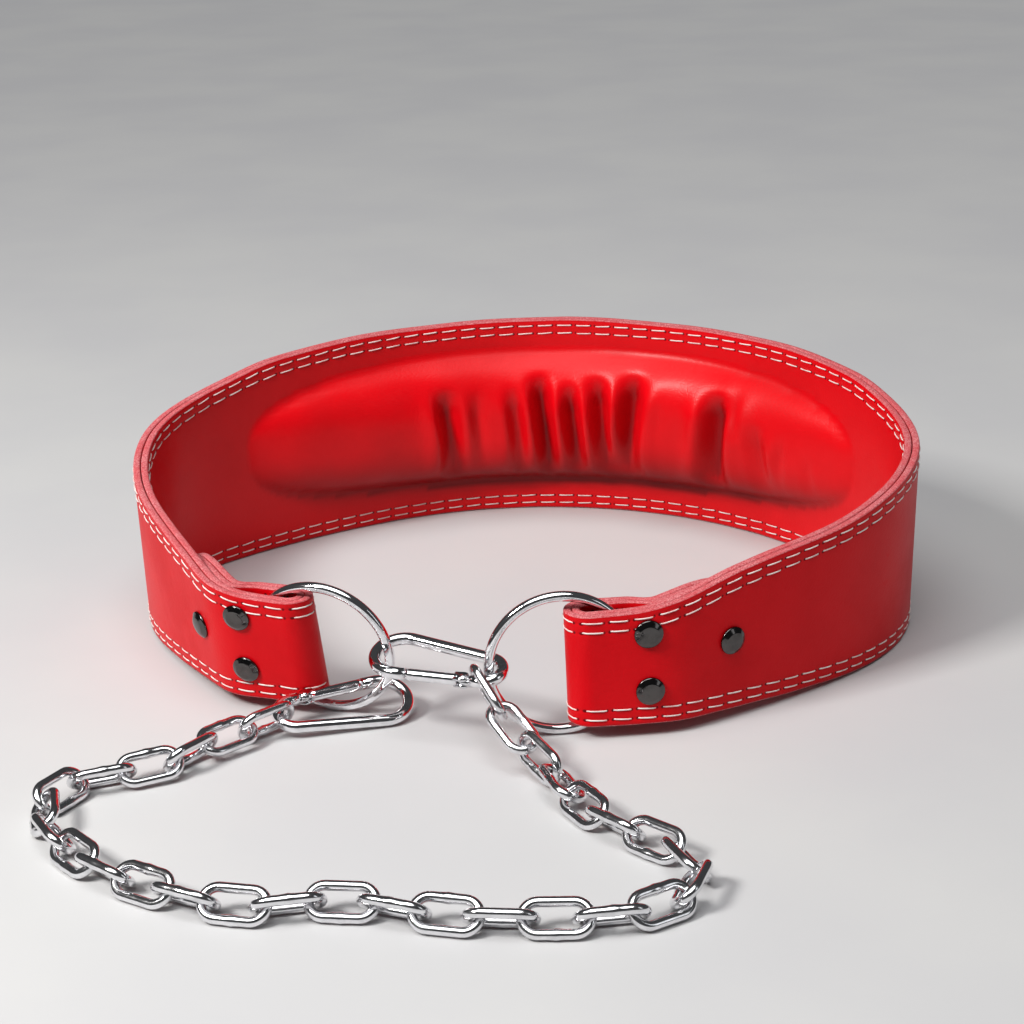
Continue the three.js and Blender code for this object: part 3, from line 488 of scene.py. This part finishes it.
# Inner ply. The same leather, stretched over a long foam pad in the small of the back and sewn
# down round it. It is gathered across the pad, so that deep creases run down it and the leather
# swells between them.
PAD_LENGTH = 345.0
PAD_HEIGHT = 68.0
PAD_CENTRE_HEIGHT = 51.5
PAD_DEPTH = 17.0
PAD_END_FALL = 3.5
PAD_END_ROUNDING = 0.8
PAD_FOOT_FULLNESS = 0.7
PAD_TOP_FULLNESS = 1.0
SLACK = 0.035
SWELL_BY_GATHER = 0.2
GATHERS = [
    # place along, depth, half width, lean, top reach, foot reach
    (-64.0, 0.42, 10.0, -3.5, 0.62, 1.0),
    (-49.0, 0.14, 8.0, -2.0, 0.6, 0.9),
    (-26.0, 0.26, 8.0, -3.0, 0.6, 1.0),
    (-11.0, 0.5, 9.0, -3.5, 0.75, 1.0),
    (5.0, 0.46, 9.0, -3.0, 0.6, 1.0),
    (21.0, 0.46, 9.0, -3.0, 0.72, 1.0),
    (37.0, 0.5, 10.0, 3.0, 0.8, 1.0),
    (88.0, 0.62, 11.0, 2.5, 0.72, 1.0),
    (104.0, 0.12, 6.0, -6.0, 0.9, 0.0),
    (116.0, 0.22, 9.0, -5.0, 0.4, 1.0),
    (131.0, 0.1, 6.0, 3.0, 0.3, 0.95),
    (147.0, 0.08, 5.0, -2.0, 0.1, 0.95),
]


def gather_relief(along, place):
    """How full the pad stays between its gathers, and the shade painted on the flanks of each
    gather.
    """
    fullness = np.ones(np.broadcast(along, place).shape)
    shade = np.zeros(fullness.shape)
    for at, deep, half_width, lean, top, foot in GATHERS:
        line = at + lean * place + 0.06 * lean * np.sin(4 * place)
        from_line = (along - line) / (half_width * (1 + 0.35 * place**2))
        steep_side = from_line < 0
        t = np.abs(from_line)
        reach = np.clip((top - place) / 0.4, 0, 1) * np.clip((foot + place) / 0.3, 0, 1)
        groove = 0.5 + 0.5 * np.cos(math.pi * np.clip(t, 0, 1))
        groove = groove ** np.where(steep_side, 0.9, 1.3)
        shoulder = np.exp(-(((t - 1.1) / 0.45) ** 2))
        fullness = fullness + deep * reach * (SWELL_BY_GATHER * shoulder - groove)
        # Painted shade on the flanks of a gather, reaching wide on its steep side and little on the
        # other.
        flank = np.clip(1 - t / np.where(steep_side, 1.1, 0.35), 0, 1) ** 1.3
        shade = np.maximum(shade, 1.5 * deep * reach * flank)
    return fullness, shade


def pad_relief(along, height):
    """The pad's bulge, and the shade painted in its gathers, along its seat and over its lower part
    where it turns under.
    """
    share = np.minimum(1.0, np.abs(along) / (PAD_LENGTH / 2))
    half = (PAD_HEIGHT / 2) * np.maximum(1e-6, 1 - share**3) ** (1 / 3)
    place = np.clip((height - PAD_CENTRE_HEIGHT) / half, -1, 1)
    ends = np.maximum(0.0, 1 - share**PAD_END_FALL) ** PAD_END_ROUNDING
    inside = np.maximum(0.0, 1 - place**2)
    crown = np.where(place < 0, PAD_FOOT_FULLNESS, PAD_TOP_FULLNESS)
    section = inside * (1 + crown) / (inside + crown)
    fullness, shade = gather_relief(along, place)
    slack = np.sin(along * 0.11 + 2 * place) * np.sin(along * 0.047 - 3 * place + 1)
    fullness = fullness + SLACK * slack
    rim = np.abs(height - PAD_CENTRE_HEIGHT) / half
    lower = height < PAD_CENTRE_HEIGHT
    # Painted shade: a dark line along the pad's seat, heavy at its foot and faint at its top, and
    # shade over the lower part where the pad turns under.
    seat_shade = np.exp(-(((rim - 1.0) / 0.14) ** 2)) * np.where(lower, 0.85, 0.15)
    turned_under = np.clip((rim - 0.2) / 0.7, 0, 1) ** 1.4
    lower_pad_shade = 0.9 * np.where(lower & (rim < 1.1), turned_under, 0.0)
    shade = ends * np.maximum(np.maximum(shade, seat_shade), lower_pad_shade)
    return PAD_DEPTH * ends * section * fullness, np.clip(shade, 0, 1)


def pad_bulge(along, height):
    return pad_relief(along, height)[0]


inner_face = leather_material(
    "inner red leather", (0.67, 0.0008, 0.005), (0.53, 0.0005, 0.003),
    roughness=0.34, relief=0.18, gloss=0.2)
inner_leather = ply_piece(
    "inner_leather", -HALF_STRAP, -PLY_GAP / 2, pad_bulge, [inner_face, raw_edge], "inner_leather")
# The painted shade of the pad's gathers, seat and lower part, kept as the 'fold shade' layer that
# darkens the inner leather's colour.
_, heights, _ = ply_section(-HALF_STRAP, -PLY_GAP / 2, no_bulge)
shade = pad_relief(strap["along"][:, None], heights)[1] * (strap["flap"][:, None] == 0)
shade = shade * (np.arange(heights.shape[1]) < FACE_ROWS)[None, :]
fold_shade = inner_leather.data.attributes.new("fold shade", "FLOAT", "POINT")
fold_shade.data.foreach_set("value", shade.reshape(-1).astype(np.float32))
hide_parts("inner_ply", "lumbar_pad")


# Stitches. Two rows of thick waxed thread along every edge of both plies; each stitch is a
# short bead of thread that goes down into the leather at both ends.
THREAD_RADIUS = 0.31
THREAD_FLATNESS = 0.8
THREAD_SIDES = 6
STITCH_JITTER = 0.12
STITCH_SLANT = 0.25
TIP_MARGIN = 3.0
FLAP_MARGIN = 4.0
# share of the stitch's length, height over the leather
STITCH_SHAPE = np.array([(-0.02, -0.35), (0.05, 0.0), (0.2, 0.3), (0.5, 0.36), (0.8, 0.3),
                         (0.95, 0.0), (1.02, -0.35)])


def thread_material():
    material, tree, shader, place = new_material("white thread")
    lay = tree.nodes.new("ShaderNodeUVMap")
    lay.uv_map = "thread"
    twist = node(tree, "ShaderNodeTexWave", Vector=lay.outputs[0], Scale=1.3, Distortion=0.6,
                 Detail=2.0)
    twist.bands_direction = "DIAGONAL"
    twisted = twist.outputs["Fac"]
    soil = node(tree, "ShaderNodeTexNoise", Vector=place, Scale=260.0, Detail=3.0).outputs[0]
    soiled = ramp(tree, soil, 0.35, 0.7)
    clean = blend_colours(tree, soiled, (0.84, 0.8, 0.77), (0.72, 0.5, 0.48))
    # Painted shade in the grooves between the thread's twisted strands.
    between = math_node(tree, "MULTIPLY", twisted, 0.3)
    shaded = blend_colours(tree, between, clean, (0.55, 0.4, 0.38))
    tree.links.new(shaded, shader.inputs["Base Color"])
    rough = math_node(tree, "MULTIPLY_ADD", soil, 0.2, 0.55)
    tree.links.new(rough, shader.inputs["Roughness"])
    bump = node(tree, "ShaderNodeBump", Strength=0.5, Distance=0.0001, Height=twisted)
    tree.links.new(bump.outputs[0], shader.inputs["Normal"])
    return material


thread = thread_material()


def thread_rings(start, jitter, edge, row, face):
    """The rings of points of one stitch, which starts at a place along the strap."""
    slip, lift, slant = jitter
    way = math.copysign(1, face)
    side = 1 if edge == "low" else -1
    course = start + STITCH_LENGTH * STITCH_SHAPE[:, 0] + slip
    tilt = (STITCH_SLANT + slant) * (STITCH_SHAPE[:, 0] - 0.5)
    height = strap_column(edge, course) + side * (row + 0.4 * lift) + tilt
    path = strap_point(course, face + way * (STITCH_SHAPE[:, 1] - 0.05), height)
    along = np.gradient(path, axis=0)
    along /= np.linalg.norm(along, axis=1)[:, None]
    out = np.pad(strap_column("outward", course) * way, ((0, 0), (0, 1)))
    across = np.cross(along, out)
    across /= np.linalg.norm(across, axis=1)[:, None]
    points = []
    for centre, wide, high in zip(path, across, out):
        for s in range(THREAD_SIDES):
            angle = 2 * math.pi * s / THREAD_SIDES
            reach = wide * math.cos(angle) + high * math.sin(angle) * THREAD_FLATNESS
            points.append(centre + reach * THREAD_RADIUS * 0.001)
    return points


def thread_faces(first):
    """The faces of one stitch whose points start at a number."""
    faces = []
    rings = len(STITCH_SHAPE)
    for k in range(rings - 1):
        a, b = first + k * THREAD_SIDES, first + (k + 1) * THREAD_SIDES
        for s in range(THREAD_SIDES):
            n = (s + 1) % THREAD_SIDES
            faces.append((a + s, a + n, b + n, b + s))
    last = first + (rings - 1) * THREAD_SIDES
    faces.append(tuple(first + s for s in range(THREAD_SIDES)))
    faces.append(tuple(last + s for s in range(THREAD_SIDES))[::-1])
    return faces


def stitch_rows(name, face, slot_name, keep):
    """Every stitch on one face of the strap, as one piece."""
    starts = np.arange(0, strap["course"][-1] - STITCH_PITCH, STITCH_PITCH)
    rng = np.random.default_rng(7)
    points, faces = [], []
    for edge in ("low", "high"):
        for row in STITCH_ROWS:
            jitters = rng.normal(0, STITCH_JITTER, (len(starts), 3))
            for start, jitter in zip(starts, jitters):
                if keep(start + STITCH_LENGTH / 2, row):
                    faces += thread_faces(len(points))
                    points += thread_rings(start, jitter, edge, row, face)
    piece = new_piece(name, points, faces, [thread], slot_name)
    tidy_normals(piece)
    layer = piece.data.uv_layers.new(name="thread")
    for loop in piece.data.loops:
        ring, side = divmod(loop.vertex_index, THREAD_SIDES)
        layer.data[loop.index].uv = (ring % len(STITCH_SHAPE) * 1.6, side * 0.5)
    return piece


def on_outer_face(course, row):
    """Whether the strap is high enough for a row there, which it isn't at a flap's tip."""
    half = (strap_column("high", course) - strap_column("low", course)) / 2
    return half > row + TIP_MARGIN


def on_inner_face(course, row):
    """Whether no flap covers the face there."""
    along = strap_column("along", course)
    end = RIGHT_LENGTH if along > 0 else LEFT_LENGTH
    free = end - FLAP_LENGTH - FLAP_MARGIN
    return strap_column("flap", course) == 0 and abs(along) < free


stitch_rows("outer_stitches", HALF_STRAP, "outer_leather", on_outer_face)
stitch_rows("inner_stitches", -HALF_STRAP, "inner_leather", on_inner_face)


# Rivets. Three in each end clamp the flap to the strap: a turned cap of dark steel with a
# bevelled rim outside, and a small burr washer over the shank's end inside.
# name, shares of the flap's length behind the right and the left end, share of the height
RIVETS = [("upper", 0.27, 0.25, 0.8), ("lower", 0.27, 0.25, 0.3), ("back", 0.71, 0.55, 0.52)]
RIVET_CLEARANCE = 0.4
RIVET_BURR_RADIUS = 4.2
RIVET_SHANK_RADIUS = 1.9
CAP_SINK = 0.2
TURNED_STEPS = 48
SHANK_STEPS = 24
# radius, height
CAP_PROFILE = [(5.75, 0.0), (5.8, 0.15), (5.8, 0.6), (5.65, 0.85), (5.3, 1.05), (4.0, 1.85),
               (3.75, 1.98), (3.4, 2.06), (2.0, 2.2), (0.0, 2.3)]
BURR_PROFILE = [(4.2, 0.0), (4.2, -0.5), (3.9, -0.9), (2.2, -1.0), (1.9, -1.25), (0.0, -1.3)]


def metal_material(name, colour, roughness, scratch, haze, dark=None):
    """Polished metal with fine scratches, uneven polish and a little dirt in its colour."""
    material, tree, shader, place = new_material(name)
    smear = node(tree, "ShaderNodeTexNoise", Vector=place, Scale=210.0, Detail=5.0,
                 Roughness=0.65).outputs[0]
    lines = node(tree, "ShaderNodeTexNoise", Vector=place, Scale=900.0, Detail=4.0,
                 Distortion=2.0).outputs[0]
    worn = ramp(tree, smear, 0.4, 0.7)
    tint = blend_colours(tree, worn, colour, dark or tuple(0.82 * c for c in colour))
    tree.links.new(tint, shader.inputs["Base Color"])
    polish = math_node(tree, "MULTIPLY_ADD", worn, haze, roughness)
    rough = math_node(tree, "MULTIPLY_ADD", lines, scratch, polish)
    tree.links.new(rough, shader.inputs["Roughness"])
    bump = node(tree, "ShaderNodeBump", Strength=0.12, Distance=0.0001, Height=smear)
    tree.links.new(bump.outputs[0], shader.inputs["Normal"])
    shader.inputs["Metallic"].default_value = 1.0
    return material


gunmetal = metal_material(
    "dark rivet steel", (0.1, 0.094, 0.092), roughness=0.1, scratch=0.04, haze=0.03,
    dark=(0.075, 0.07, 0.068))


def lathe(profile, middle, axis, segments=TURNED_STEPS):
    """Points and faces of a profile of (radius, height) in mm turned round an axis."""
    side = axis.orthogonal().normalized()
    other = axis.cross(side)
    points, faces = [], []
    for radius, height in profile:
        for k in range(segments if radius > 0 else 1):
            angle = 2 * math.pi * k / segments
            reach = side * math.cos(angle) + other * math.sin(angle)
            points.append(middle + (axis * height + reach * radius) * 0.001)
    rings = len(profile) - 1
    for k in range(rings - 1):
        for s in range(segments):
            n = (s + 1) % segments
            a, b = k * segments, (k + 1) * segments
            faces.append((a + s, a + n, b + n, b + s))
    last = (rings - 1) * segments
    for s in range(segments):
        faces.append((last + s, last + (s + 1) % segments, rings * segments))
    faces.append(tuple(range(segments))[::-1])
    return points, faces


for side_name, side in (("right", right_side), ("left", left_side)):
    for rivet_name, behind_right, behind_left, height_share in RIVETS:
        behind = (behind_right if side_name == "right" else behind_left) * FLAP_LENGTH
        station = side[0](1 - behind / side[2])
        level = station["low"] + (station["high"] - station["low"]) * height_share
        slopes = np.array([station["side_slope"], station["forward_slope"]])
        axis = Vector((*station["forward"], 0)).cross(Vector((*-slopes, 1))).normalized()
        if axis.x * station["outward"][0] + axis.y * station["outward"][1] < 0:
            axis = -axis
        flat = station["centre"] - slopes * level
        middle = Vector((np.array([*flat, level]) - ORIGIN) * 0.001)
        front = HALF_STRAP + RIVET_CLEARANCE
        back = flap_offset(behind - RIVET_BURR_RADIUS) + HALF_STRAP + RIVET_CLEARANCE
        shank = [(RIVET_SHANK_RADIUS, -back), (RIVET_SHANK_RADIUS, front), (0.0, front)]
        cap, cap_faces = lathe(CAP_PROFILE, middle + axis * (front - CAP_SINK) * 0.001, axis)
        rod, rod_faces = lathe(shank, middle, axis, SHANK_STEPS)
        burr, burr_faces = lathe(BURR_PROFILE, middle - axis * back * 0.001, axis)
        faces = cap_faces + [tuple(i + len(cap) for i in f) for f in rod_faces]
        faces += [tuple(i + len(cap) + len(rod) for i in f) for f in burr_faces]
        name = f"{side_name}_{rivet_name}"
        rivet = new_piece(
            f"rivet_head_{name}", cap + rod + burr, faces, [gunmetal], "rivet_steel")
        tidy_normals(rivet)
        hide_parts(f"rivet_{name}")


# Rings. Each is a bar bent round and butt welded, then chrome plated; the weld sits inside
# the fold. The ring's place is read from its own solid.
RING_RADIUS = 30.5
RING_STEPS = 112
RING_WELD_SWELL = 0.09
RING_WELD_STEPS = 0.9
WIRE_SIDES = 20

chrome = metal_material(
    "chrome plate", (0.86, 0.86, 0.88), roughness=0.045, scratch=0.05, haze=0.05)


def solid_points(name):
    mesh = frame["nodes"][name].data
    points = np.empty(len(mesh.vertices) * 3)
    mesh.vertices.foreach_get("co", points)
    return points.reshape(-1, 3)


def own_axes(name):
    """The middle of a node's solid and its longest, middle and shortest directions."""
    points = solid_points(name)
    middle = points.mean(axis=0)
    spread = np.linalg.eigh(np.cov((points - middle).T))[1]
    long, wide = spread[:, 2], spread[:, 1]
    return Vector(middle), Vector(long), Vector(wide), Vector(np.cross(long, wide))


def bar(path, radius, sides, closed, swell=None):
    """A bar along a flat path in mm, closed or with flat ends, with a swell where it is welded."""
    path = [Vector(p) for p in path]
    count = len(path)
    points, faces = [], []
    for k, centre in enumerate(path):
        before = path[k - 1] if closed or k > 0 else centre
        after = path[(k + 1) % count] if closed or k < count - 1 else centre
        along = (after - before).normalized()
        side = Vector((0, 0, 1)).cross(along).normalized()
        up = along.cross(side)
        size = radius * (1 + (swell(k) if swell else 0))
        for s in range(sides):
            angle = 2 * math.pi * s / sides
            points.append(centre + (side * math.cos(angle) + up * math.sin(angle)) * size)
    for k in range(count if closed else count - 1):
        a, b = k * sides, ((k + 1) % count) * sides
        for s in range(sides):
            n = (s + 1) % sides
            faces.append((a + s, a + n, b + n, b + s))
    if not closed:
        faces.append(tuple(range(sides))[::-1])
        faces.append(tuple((count - 1) * sides + s for s in range(sides)))
    return points, faces


def place_piece(name, points, faces, matrix, material, slot_name, body="root"):
    """A piece made in mm in its own axes, put in place by a matrix in metres."""
    placed = [matrix @ (Vector(p) * 0.001) for p in points]
    piece = new_piece(name, placed, faces, [material], slot_name, body)
    tidy_normals(piece)
    return piece


def matrix_of(middle, x, y, z):
    turn = Matrix((x, y, z)).transposed().to_4x4()
    return Matrix.Translation(middle) @ turn


def ring_swell(k):
    return RING_WELD_SWELL * math.exp(-((min(k, RING_STEPS - k) / RING_WELD_STEPS) ** 2))


wire_radius = RING_RADIUS - RING_WIRE / 2
ring_path = []
for k in range(RING_STEPS):
    angle = 2 * math.pi * k / RING_STEPS
    ring_path.append((wire_radius * math.cos(angle), wire_radius * math.sin(angle), 0))
ring_shape = bar(ring_path, RING_WIRE / 2, WIRE_SIDES, True, ring_swell)
for side_name, weld_way in (("right", 1), ("left", -1)):
    middle, _, _, thin = own_axes(f"ring_{side_name}")
    weld = Vector((weld_way, 0, 0))
    x_axis = (weld - thin * weld.dot(thin)).normalized()
    matrix = matrix_of(middle, x_axis, thin.cross(x_axis), thin)
    ring = place_piece(f"chrome_ring_{side_name}", *ring_shape, matrix, chrome, "bright_steel")
    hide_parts(f"ring_{side_name}")


# Snap hooks. Each body is one bar bent to a long loop, wide at one end; a spring gate with a
# forked knuckle turns on a pin at the narrow end and closes against the nose.
HOOK_LENGTH = 59.0
HOOK_WIRE = 5.0
HOOK_WIDE_RADIUS = 10.8
HOOK_NARROW_RADIUS = 7.3
NOSE_LENGTH = 5.0
HINGE_INSET = 6.4
GATE_GAP = 0.6
GATE_WIRE = 4.8
KNUCKLE_RADIUS = 2.5
KNUCKLE_WIDTH = 4.4
TONGUE_RADIUS = 2.1
TONGUE_THICKNESS = 1.7
SLOT_CLEARANCE = 0.35
PIN_RADIUS = 0.8
PIN_RIM = 0.35
PIN_STANDOUT = 0.25
PIN_STEPS = 24
TONGUE_ROOT = 1.5
CHEEK_ROOT = 1.2
CHEEK_FULLNESS = 0.92
NOSE_TRIM = 0.001
TURN_STEPS = 32
SIDE_STEPS = 12
KNUCKLE_STEPS = 16
# in metres, from the farthest point of a gate's solid
GATE_END_REACH = 0.0052

hook_span = HOOK_LENGTH - HOOK_WIRE - HOOK_WIDE_RADIUS - HOOK_NARROW_RADIUS
hook_slant = math.asin((HOOK_WIDE_RADIUS - HOOK_NARROW_RADIUS) / hook_span)
gate_line = Vector((math.cos(hook_slant), math.sin(hook_slant), 0))
gate_side = Vector((-math.sin(hook_slant), math.cos(hook_slant), 0))


def on_arc(centre_x, radius, angle):
    return Vector((centre_x + radius * math.cos(angle), radius * math.sin(angle), 0))


start_angle = math.pi / 2 + hook_slant
wide_tangent = on_arc(hook_span / 2, HOOK_WIDE_RADIUS, start_angle)
narrow_tangent = on_arc(-hook_span / 2, HOOK_NARROW_RADIUS, start_angle)
hinge_point = narrow_tangent + gate_line * HINGE_INSET
nose_tip = wide_tangent - gate_line * NOSE_LENGTH
gate_length = (nose_tip - hinge_point).length - GATE_GAP


def plate(outline, low, high):
    """A flat plate of an outline between two heights across the hook."""
    count = len(outline)
    points = [Vector((p.x, p.y, level)) for level in (low, high) for p in outline]
    faces = [tuple(range(count))[::-1], tuple(range(count, 2 * count))]
    faces += [(k, (k + 1) % count, count + (k + 1) % count, count + k) for k in range(count)]
    return points, faces


def joined(*parts):
    """The points and faces of several shapes as those of one."""
    points, faces = [], []
    for some_points, some_faces in parts:
        faces += [tuple(i + len(points) for i in f) for f in some_faces]
        points += some_points
    return points, faces


def knuckle_outline(radius, reach, half_width, way):
    """A round end about the pin that runs on to the bar."""
    points = []
    for k in range(KNUCKLE_STEPS + 1):
        angle = math.pi / 2 + math.pi * k / KNUCKLE_STEPS
        spoke = gate_line * math.cos(angle) * way + gate_side * math.sin(angle)
        points.append(hinge_point + spoke * radius)
    points.append(hinge_point + gate_line * reach * way - gate_side * half_width)
    points.append(hinge_point + gate_line * reach * way + gate_side * half_width)
    return points


shoulder = KNUCKLE_RADIUS + SLOT_CLEARANCE
narrow_turn = math.pi - 2 * hook_slant
wide_turn = math.pi + 2 * hook_slant
low_narrow = on_arc(-hook_span / 2, HOOK_NARROW_RADIUS, start_angle + narrow_turn)
low_wide = on_arc(hook_span / 2, HOOK_WIDE_RADIUS, -start_angle)
body_path = [hinge_point - gate_line * shoulder]
for k in range(TURN_STEPS + 1):
    angle = start_angle + narrow_turn * k / TURN_STEPS
    body_path.append(on_arc(-hook_span / 2, HOOK_NARROW_RADIUS, angle))
for k in range(1, SIDE_STEPS):
    body_path.append(low_narrow.lerp(low_wide, k / SIDE_STEPS))
for k in range(TURN_STEPS + 1):
    angle = -start_angle + wide_turn * k / TURN_STEPS
    body_path.append(on_arc(hook_span / 2, HOOK_WIDE_RADIUS, angle))
body_path.append(nose_tip - gate_line * NOSE_TRIM)
body_bar = bar(body_path, HOOK_WIRE / 2, WIRE_SIDES, False)
tongue = plate(knuckle_outline(TONGUE_RADIUS, shoulder + TONGUE_ROOT, TONGUE_RADIUS, -1),
               -TONGUE_THICKNESS / 2, TONGUE_THICKNESS / 2)
body_shape = joined(body_bar, tongue)

slot_half = TONGUE_THICKNESS / 2 + SLOT_CLEARANCE
fork_reach = TONGUE_RADIUS + SLOT_CLEARANCE
cheek = knuckle_outline(
    KNUCKLE_RADIUS, fork_reach + CHEEK_ROOT, GATE_WIRE / 2 * CHEEK_FULLNESS, 1)
rod_path = []
for k in range(SIDE_STEPS + 1):
    reach = fork_reach + (gate_length - fork_reach) * k / SIDE_STEPS
    rod_path.append(hinge_point + gate_line * reach)
pin_ring = []
for k in range(PIN_STEPS):
    angle = 2 * math.pi * k / PIN_STEPS
    spoke = gate_line * math.cos(angle) + gate_side * math.sin(angle)
    pin_ring.append(hinge_point + spoke * (PIN_RADIUS + PIN_RIM))
pin_half = KNUCKLE_WIDTH / 2 + PIN_STANDOUT
gate_shape = joined(
    bar(rod_path, GATE_WIRE / 2, WIRE_SIDES, False),
    plate(cheek, slot_half, KNUCKLE_WIDTH / 2),
    plate(cheek, -KNUCKLE_WIDTH / 2, -slot_half),
    plate(pin_ring, -pin_half, pin_half))

record_joints = {joint["child"]: joint for joint in frame["record"]["behaviour"]["joints"]}
for number in (1, 2):
    joint = record_joints[f"gate_{number}"]
    hinge = Vector(joint["pos_m"])
    hook_across = -Vector(joint["axis"]).normalized()
    gate_points = [Vector(p) - hinge for p in solid_points(f"hook_{number}_gate")]
    far = max(gate_points, key=lambda p: p.length)
    ends = [p for p in gate_points if (p - far).length < GATE_END_REACH]
    line = sum(ends, Vector()) / len(ends)
    line = (line - hook_across * line.dot(hook_across)).normalized()
    to_wide = Matrix.Rotation(-hook_slant, 3, hook_across) @ line
    to_gate = hook_across.cross(to_wide)
    turn = Matrix((to_wide, to_gate, hook_across)).transposed()
    middle = hinge - turn @ (hinge_point * 0.001)
    matrix = Matrix.Translation(middle) @ turn.to_4x4()
    hook_body = place_piece(
        f"snap_hook_{number}", *body_shape, matrix, chrome, "bright_steel")
    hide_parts(f"hook_{number}_body")
    hook_gate = place_piece(
        f"snap_gate_{number}", *gate_shape, matrix, chrome, "bright_steel", f"gate_{number}")
    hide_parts(f"hook_{number}_gate")


# Chain. Each link is a short bar bent to an oval and welded in the middle of one long side,
# which leaves a bright swelling there. The links lie as their solids lie, and every third one
# is turned over, so that its weld lies on the other side.
LINK_WIRE = 3.7
LINK_PITCH = 19.6
LINK_WIDTH = 14.8
LINK_BEND_STEPS = 16
LINK_SIDE_STEPS = 8
LINK_WIRE_SIDES = 14
LINK_WELD_SWELL = 0.15
LINK_WELD_LENGTH = 1.5

plated_steel = metal_material(
    "plated chain steel", (0.8, 0.8, 0.82), roughness=0.09, scratch=0.08, haze=0.08)
bend_radius = (LINK_WIDTH - LINK_WIRE) / 2
straight = (LINK_PITCH + LINK_WIRE) / 2 - bend_radius
link_path = []
for end in (1, -1):
    for k in range(LINK_BEND_STEPS + 1):
        angle = -math.pi / 2 + math.pi * k / LINK_BEND_STEPS
        reach = straight + bend_radius * math.cos(angle)
        link_path.append((end * reach, end * bend_radius * math.sin(angle), 0))
    for k in range(1, LINK_SIDE_STEPS):
        reach = straight * (1 - 2 * k / LINK_SIDE_STEPS)
        link_path.append((end * reach, end * bend_radius, 0))


def link_swell(k):
    x, y, _ = link_path[k]
    if y > -bend_radius * 0.99:
        return 0.0
    return LINK_WELD_SWELL * math.exp(-((x / LINK_WELD_LENGTH) ** 2))


link_shape = bar(link_path, LINK_WIRE / 2, LINK_WIRE_SIDES, True, link_swell)
link_nodes = sorted(name for name in frame["nodes"] if name.startswith("chain_link"))
for number, name in enumerate(link_nodes):
    middle, long, wide, thin = own_axes(name)
    if number % 3 == 1:
        wide, thin = -wide, -thin
    link = place_piece(name.replace("chain_link", "welded_link"), *link_shape,
                       matrix_of(middle, long, wide, thin), plated_steel, "chain_steel")
    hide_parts(name)


# Floor, lights and camera. A plain pale studio floor, a warm key light high on the left, a
# faint side light from the right and an even sky light from above.
FLOOR_SIZE = 16
FLOOR_SINK = 0.0002
CAMERA_LENS = 77.34
CAMERA_PLACE = (-0.029584, -1.069784, 0.375427)
CAMERA_PITCH = 19.5
CAMERA_ROLL = -1.5

floor_material, floor_tree, floor_shader, floor_place = new_material("pale floor")
cloud = node(floor_tree, "ShaderNodeTexNoise", Vector=floor_place, Scale=6.0, Detail=5.0)
floor_colour = blend_colours(floor_tree, ramp(floor_tree, cloud.outputs[0], 0.3, 0.7),
                             (0.47, 0.47, 0.48), (0.5, 0.5, 0.5))
floor_tree.links.new(floor_colour, floor_shader.inputs["Base Color"])
floor_shader.inputs["Roughness"].default_value = 0.7
bpy.ops.mesh.primitive_plane_add(size=FLOOR_SIZE, location=(0, 0, -FLOOR_SINK))
floor = bpy.context.object
floor.name = "studio_floor"
floor.data.materials.append(floor_material)


def aimed_light(lamp, place, aim):
    """A light of a lamp at a place, turned to shine along a direction."""
    light = bpy.data.objects.new(lamp.name, lamp)
    bpy.context.scene.collection.objects.link(light)
    light.location = place
    light.rotation_euler = Vector(aim).to_track_quat("-Z", "Y").to_euler()


def soft_light(name, place, target, size, power, colour):
    """A rectangular light at a place, aimed at a target."""
    lamp = bpy.data.lights.new(name, "AREA")
    lamp.shape = "RECTANGLE"
    lamp.size, lamp.size_y = size
    lamp.energy = power
    lamp.color = colour
    aimed_light(lamp, place, Vector(target) - Vector(place))


middle_of_belt = (-0.02, -0.15, 0.04)
soft_light("key_light", (-0.85, -0.8, 0.95), middle_of_belt, size=(0.35, 0.3), power=20,
           colour=(1.0, 0.98, 0.95))
soft_light("side_light", (1.1, -0.9, 0.6), middle_of_belt, size=(0.3, 0.7), power=0.7,
           colour=(0.95, 0.97, 1.0))
sky = bpy.data.lights.new("sky_light", "SUN")
sky.energy = 2.2
sky.angle = math.radians(50)
aimed_light(sky, (0, 0, 0), (0.1, 0.3, -1.0))
world = bpy.data.worlds.new("studio")
bpy.context.scene.world = world
world.use_nodes = True
bpy.context.scene.view_settings.view_transform = "Standard"
world.node_tree.nodes["Background"].inputs["Color"].default_value = (0.5, 0.51, 0.53, 1)
world.node_tree.nodes["Background"].inputs["Strength"].default_value = 0.1

camera_data = bpy.data.cameras.new("photo_camera")
camera_data.sensor_width = 36.0
camera_data.lens = CAMERA_LENS
camera = bpy.data.objects.new("photo_camera", camera_data)
bpy.context.scene.collection.objects.link(camera)
pitch, roll = math.radians(CAMERA_PITCH), math.radians(CAMERA_ROLL)
aim = Matrix.Rotation(math.pi / 2 - pitch, 4, "X") @ Matrix.Rotation(roll, 4, "Z")
camera.matrix_world = Matrix.Translation(CAMERA_PLACE) @ aim
bpy.context.scene.camera = camera
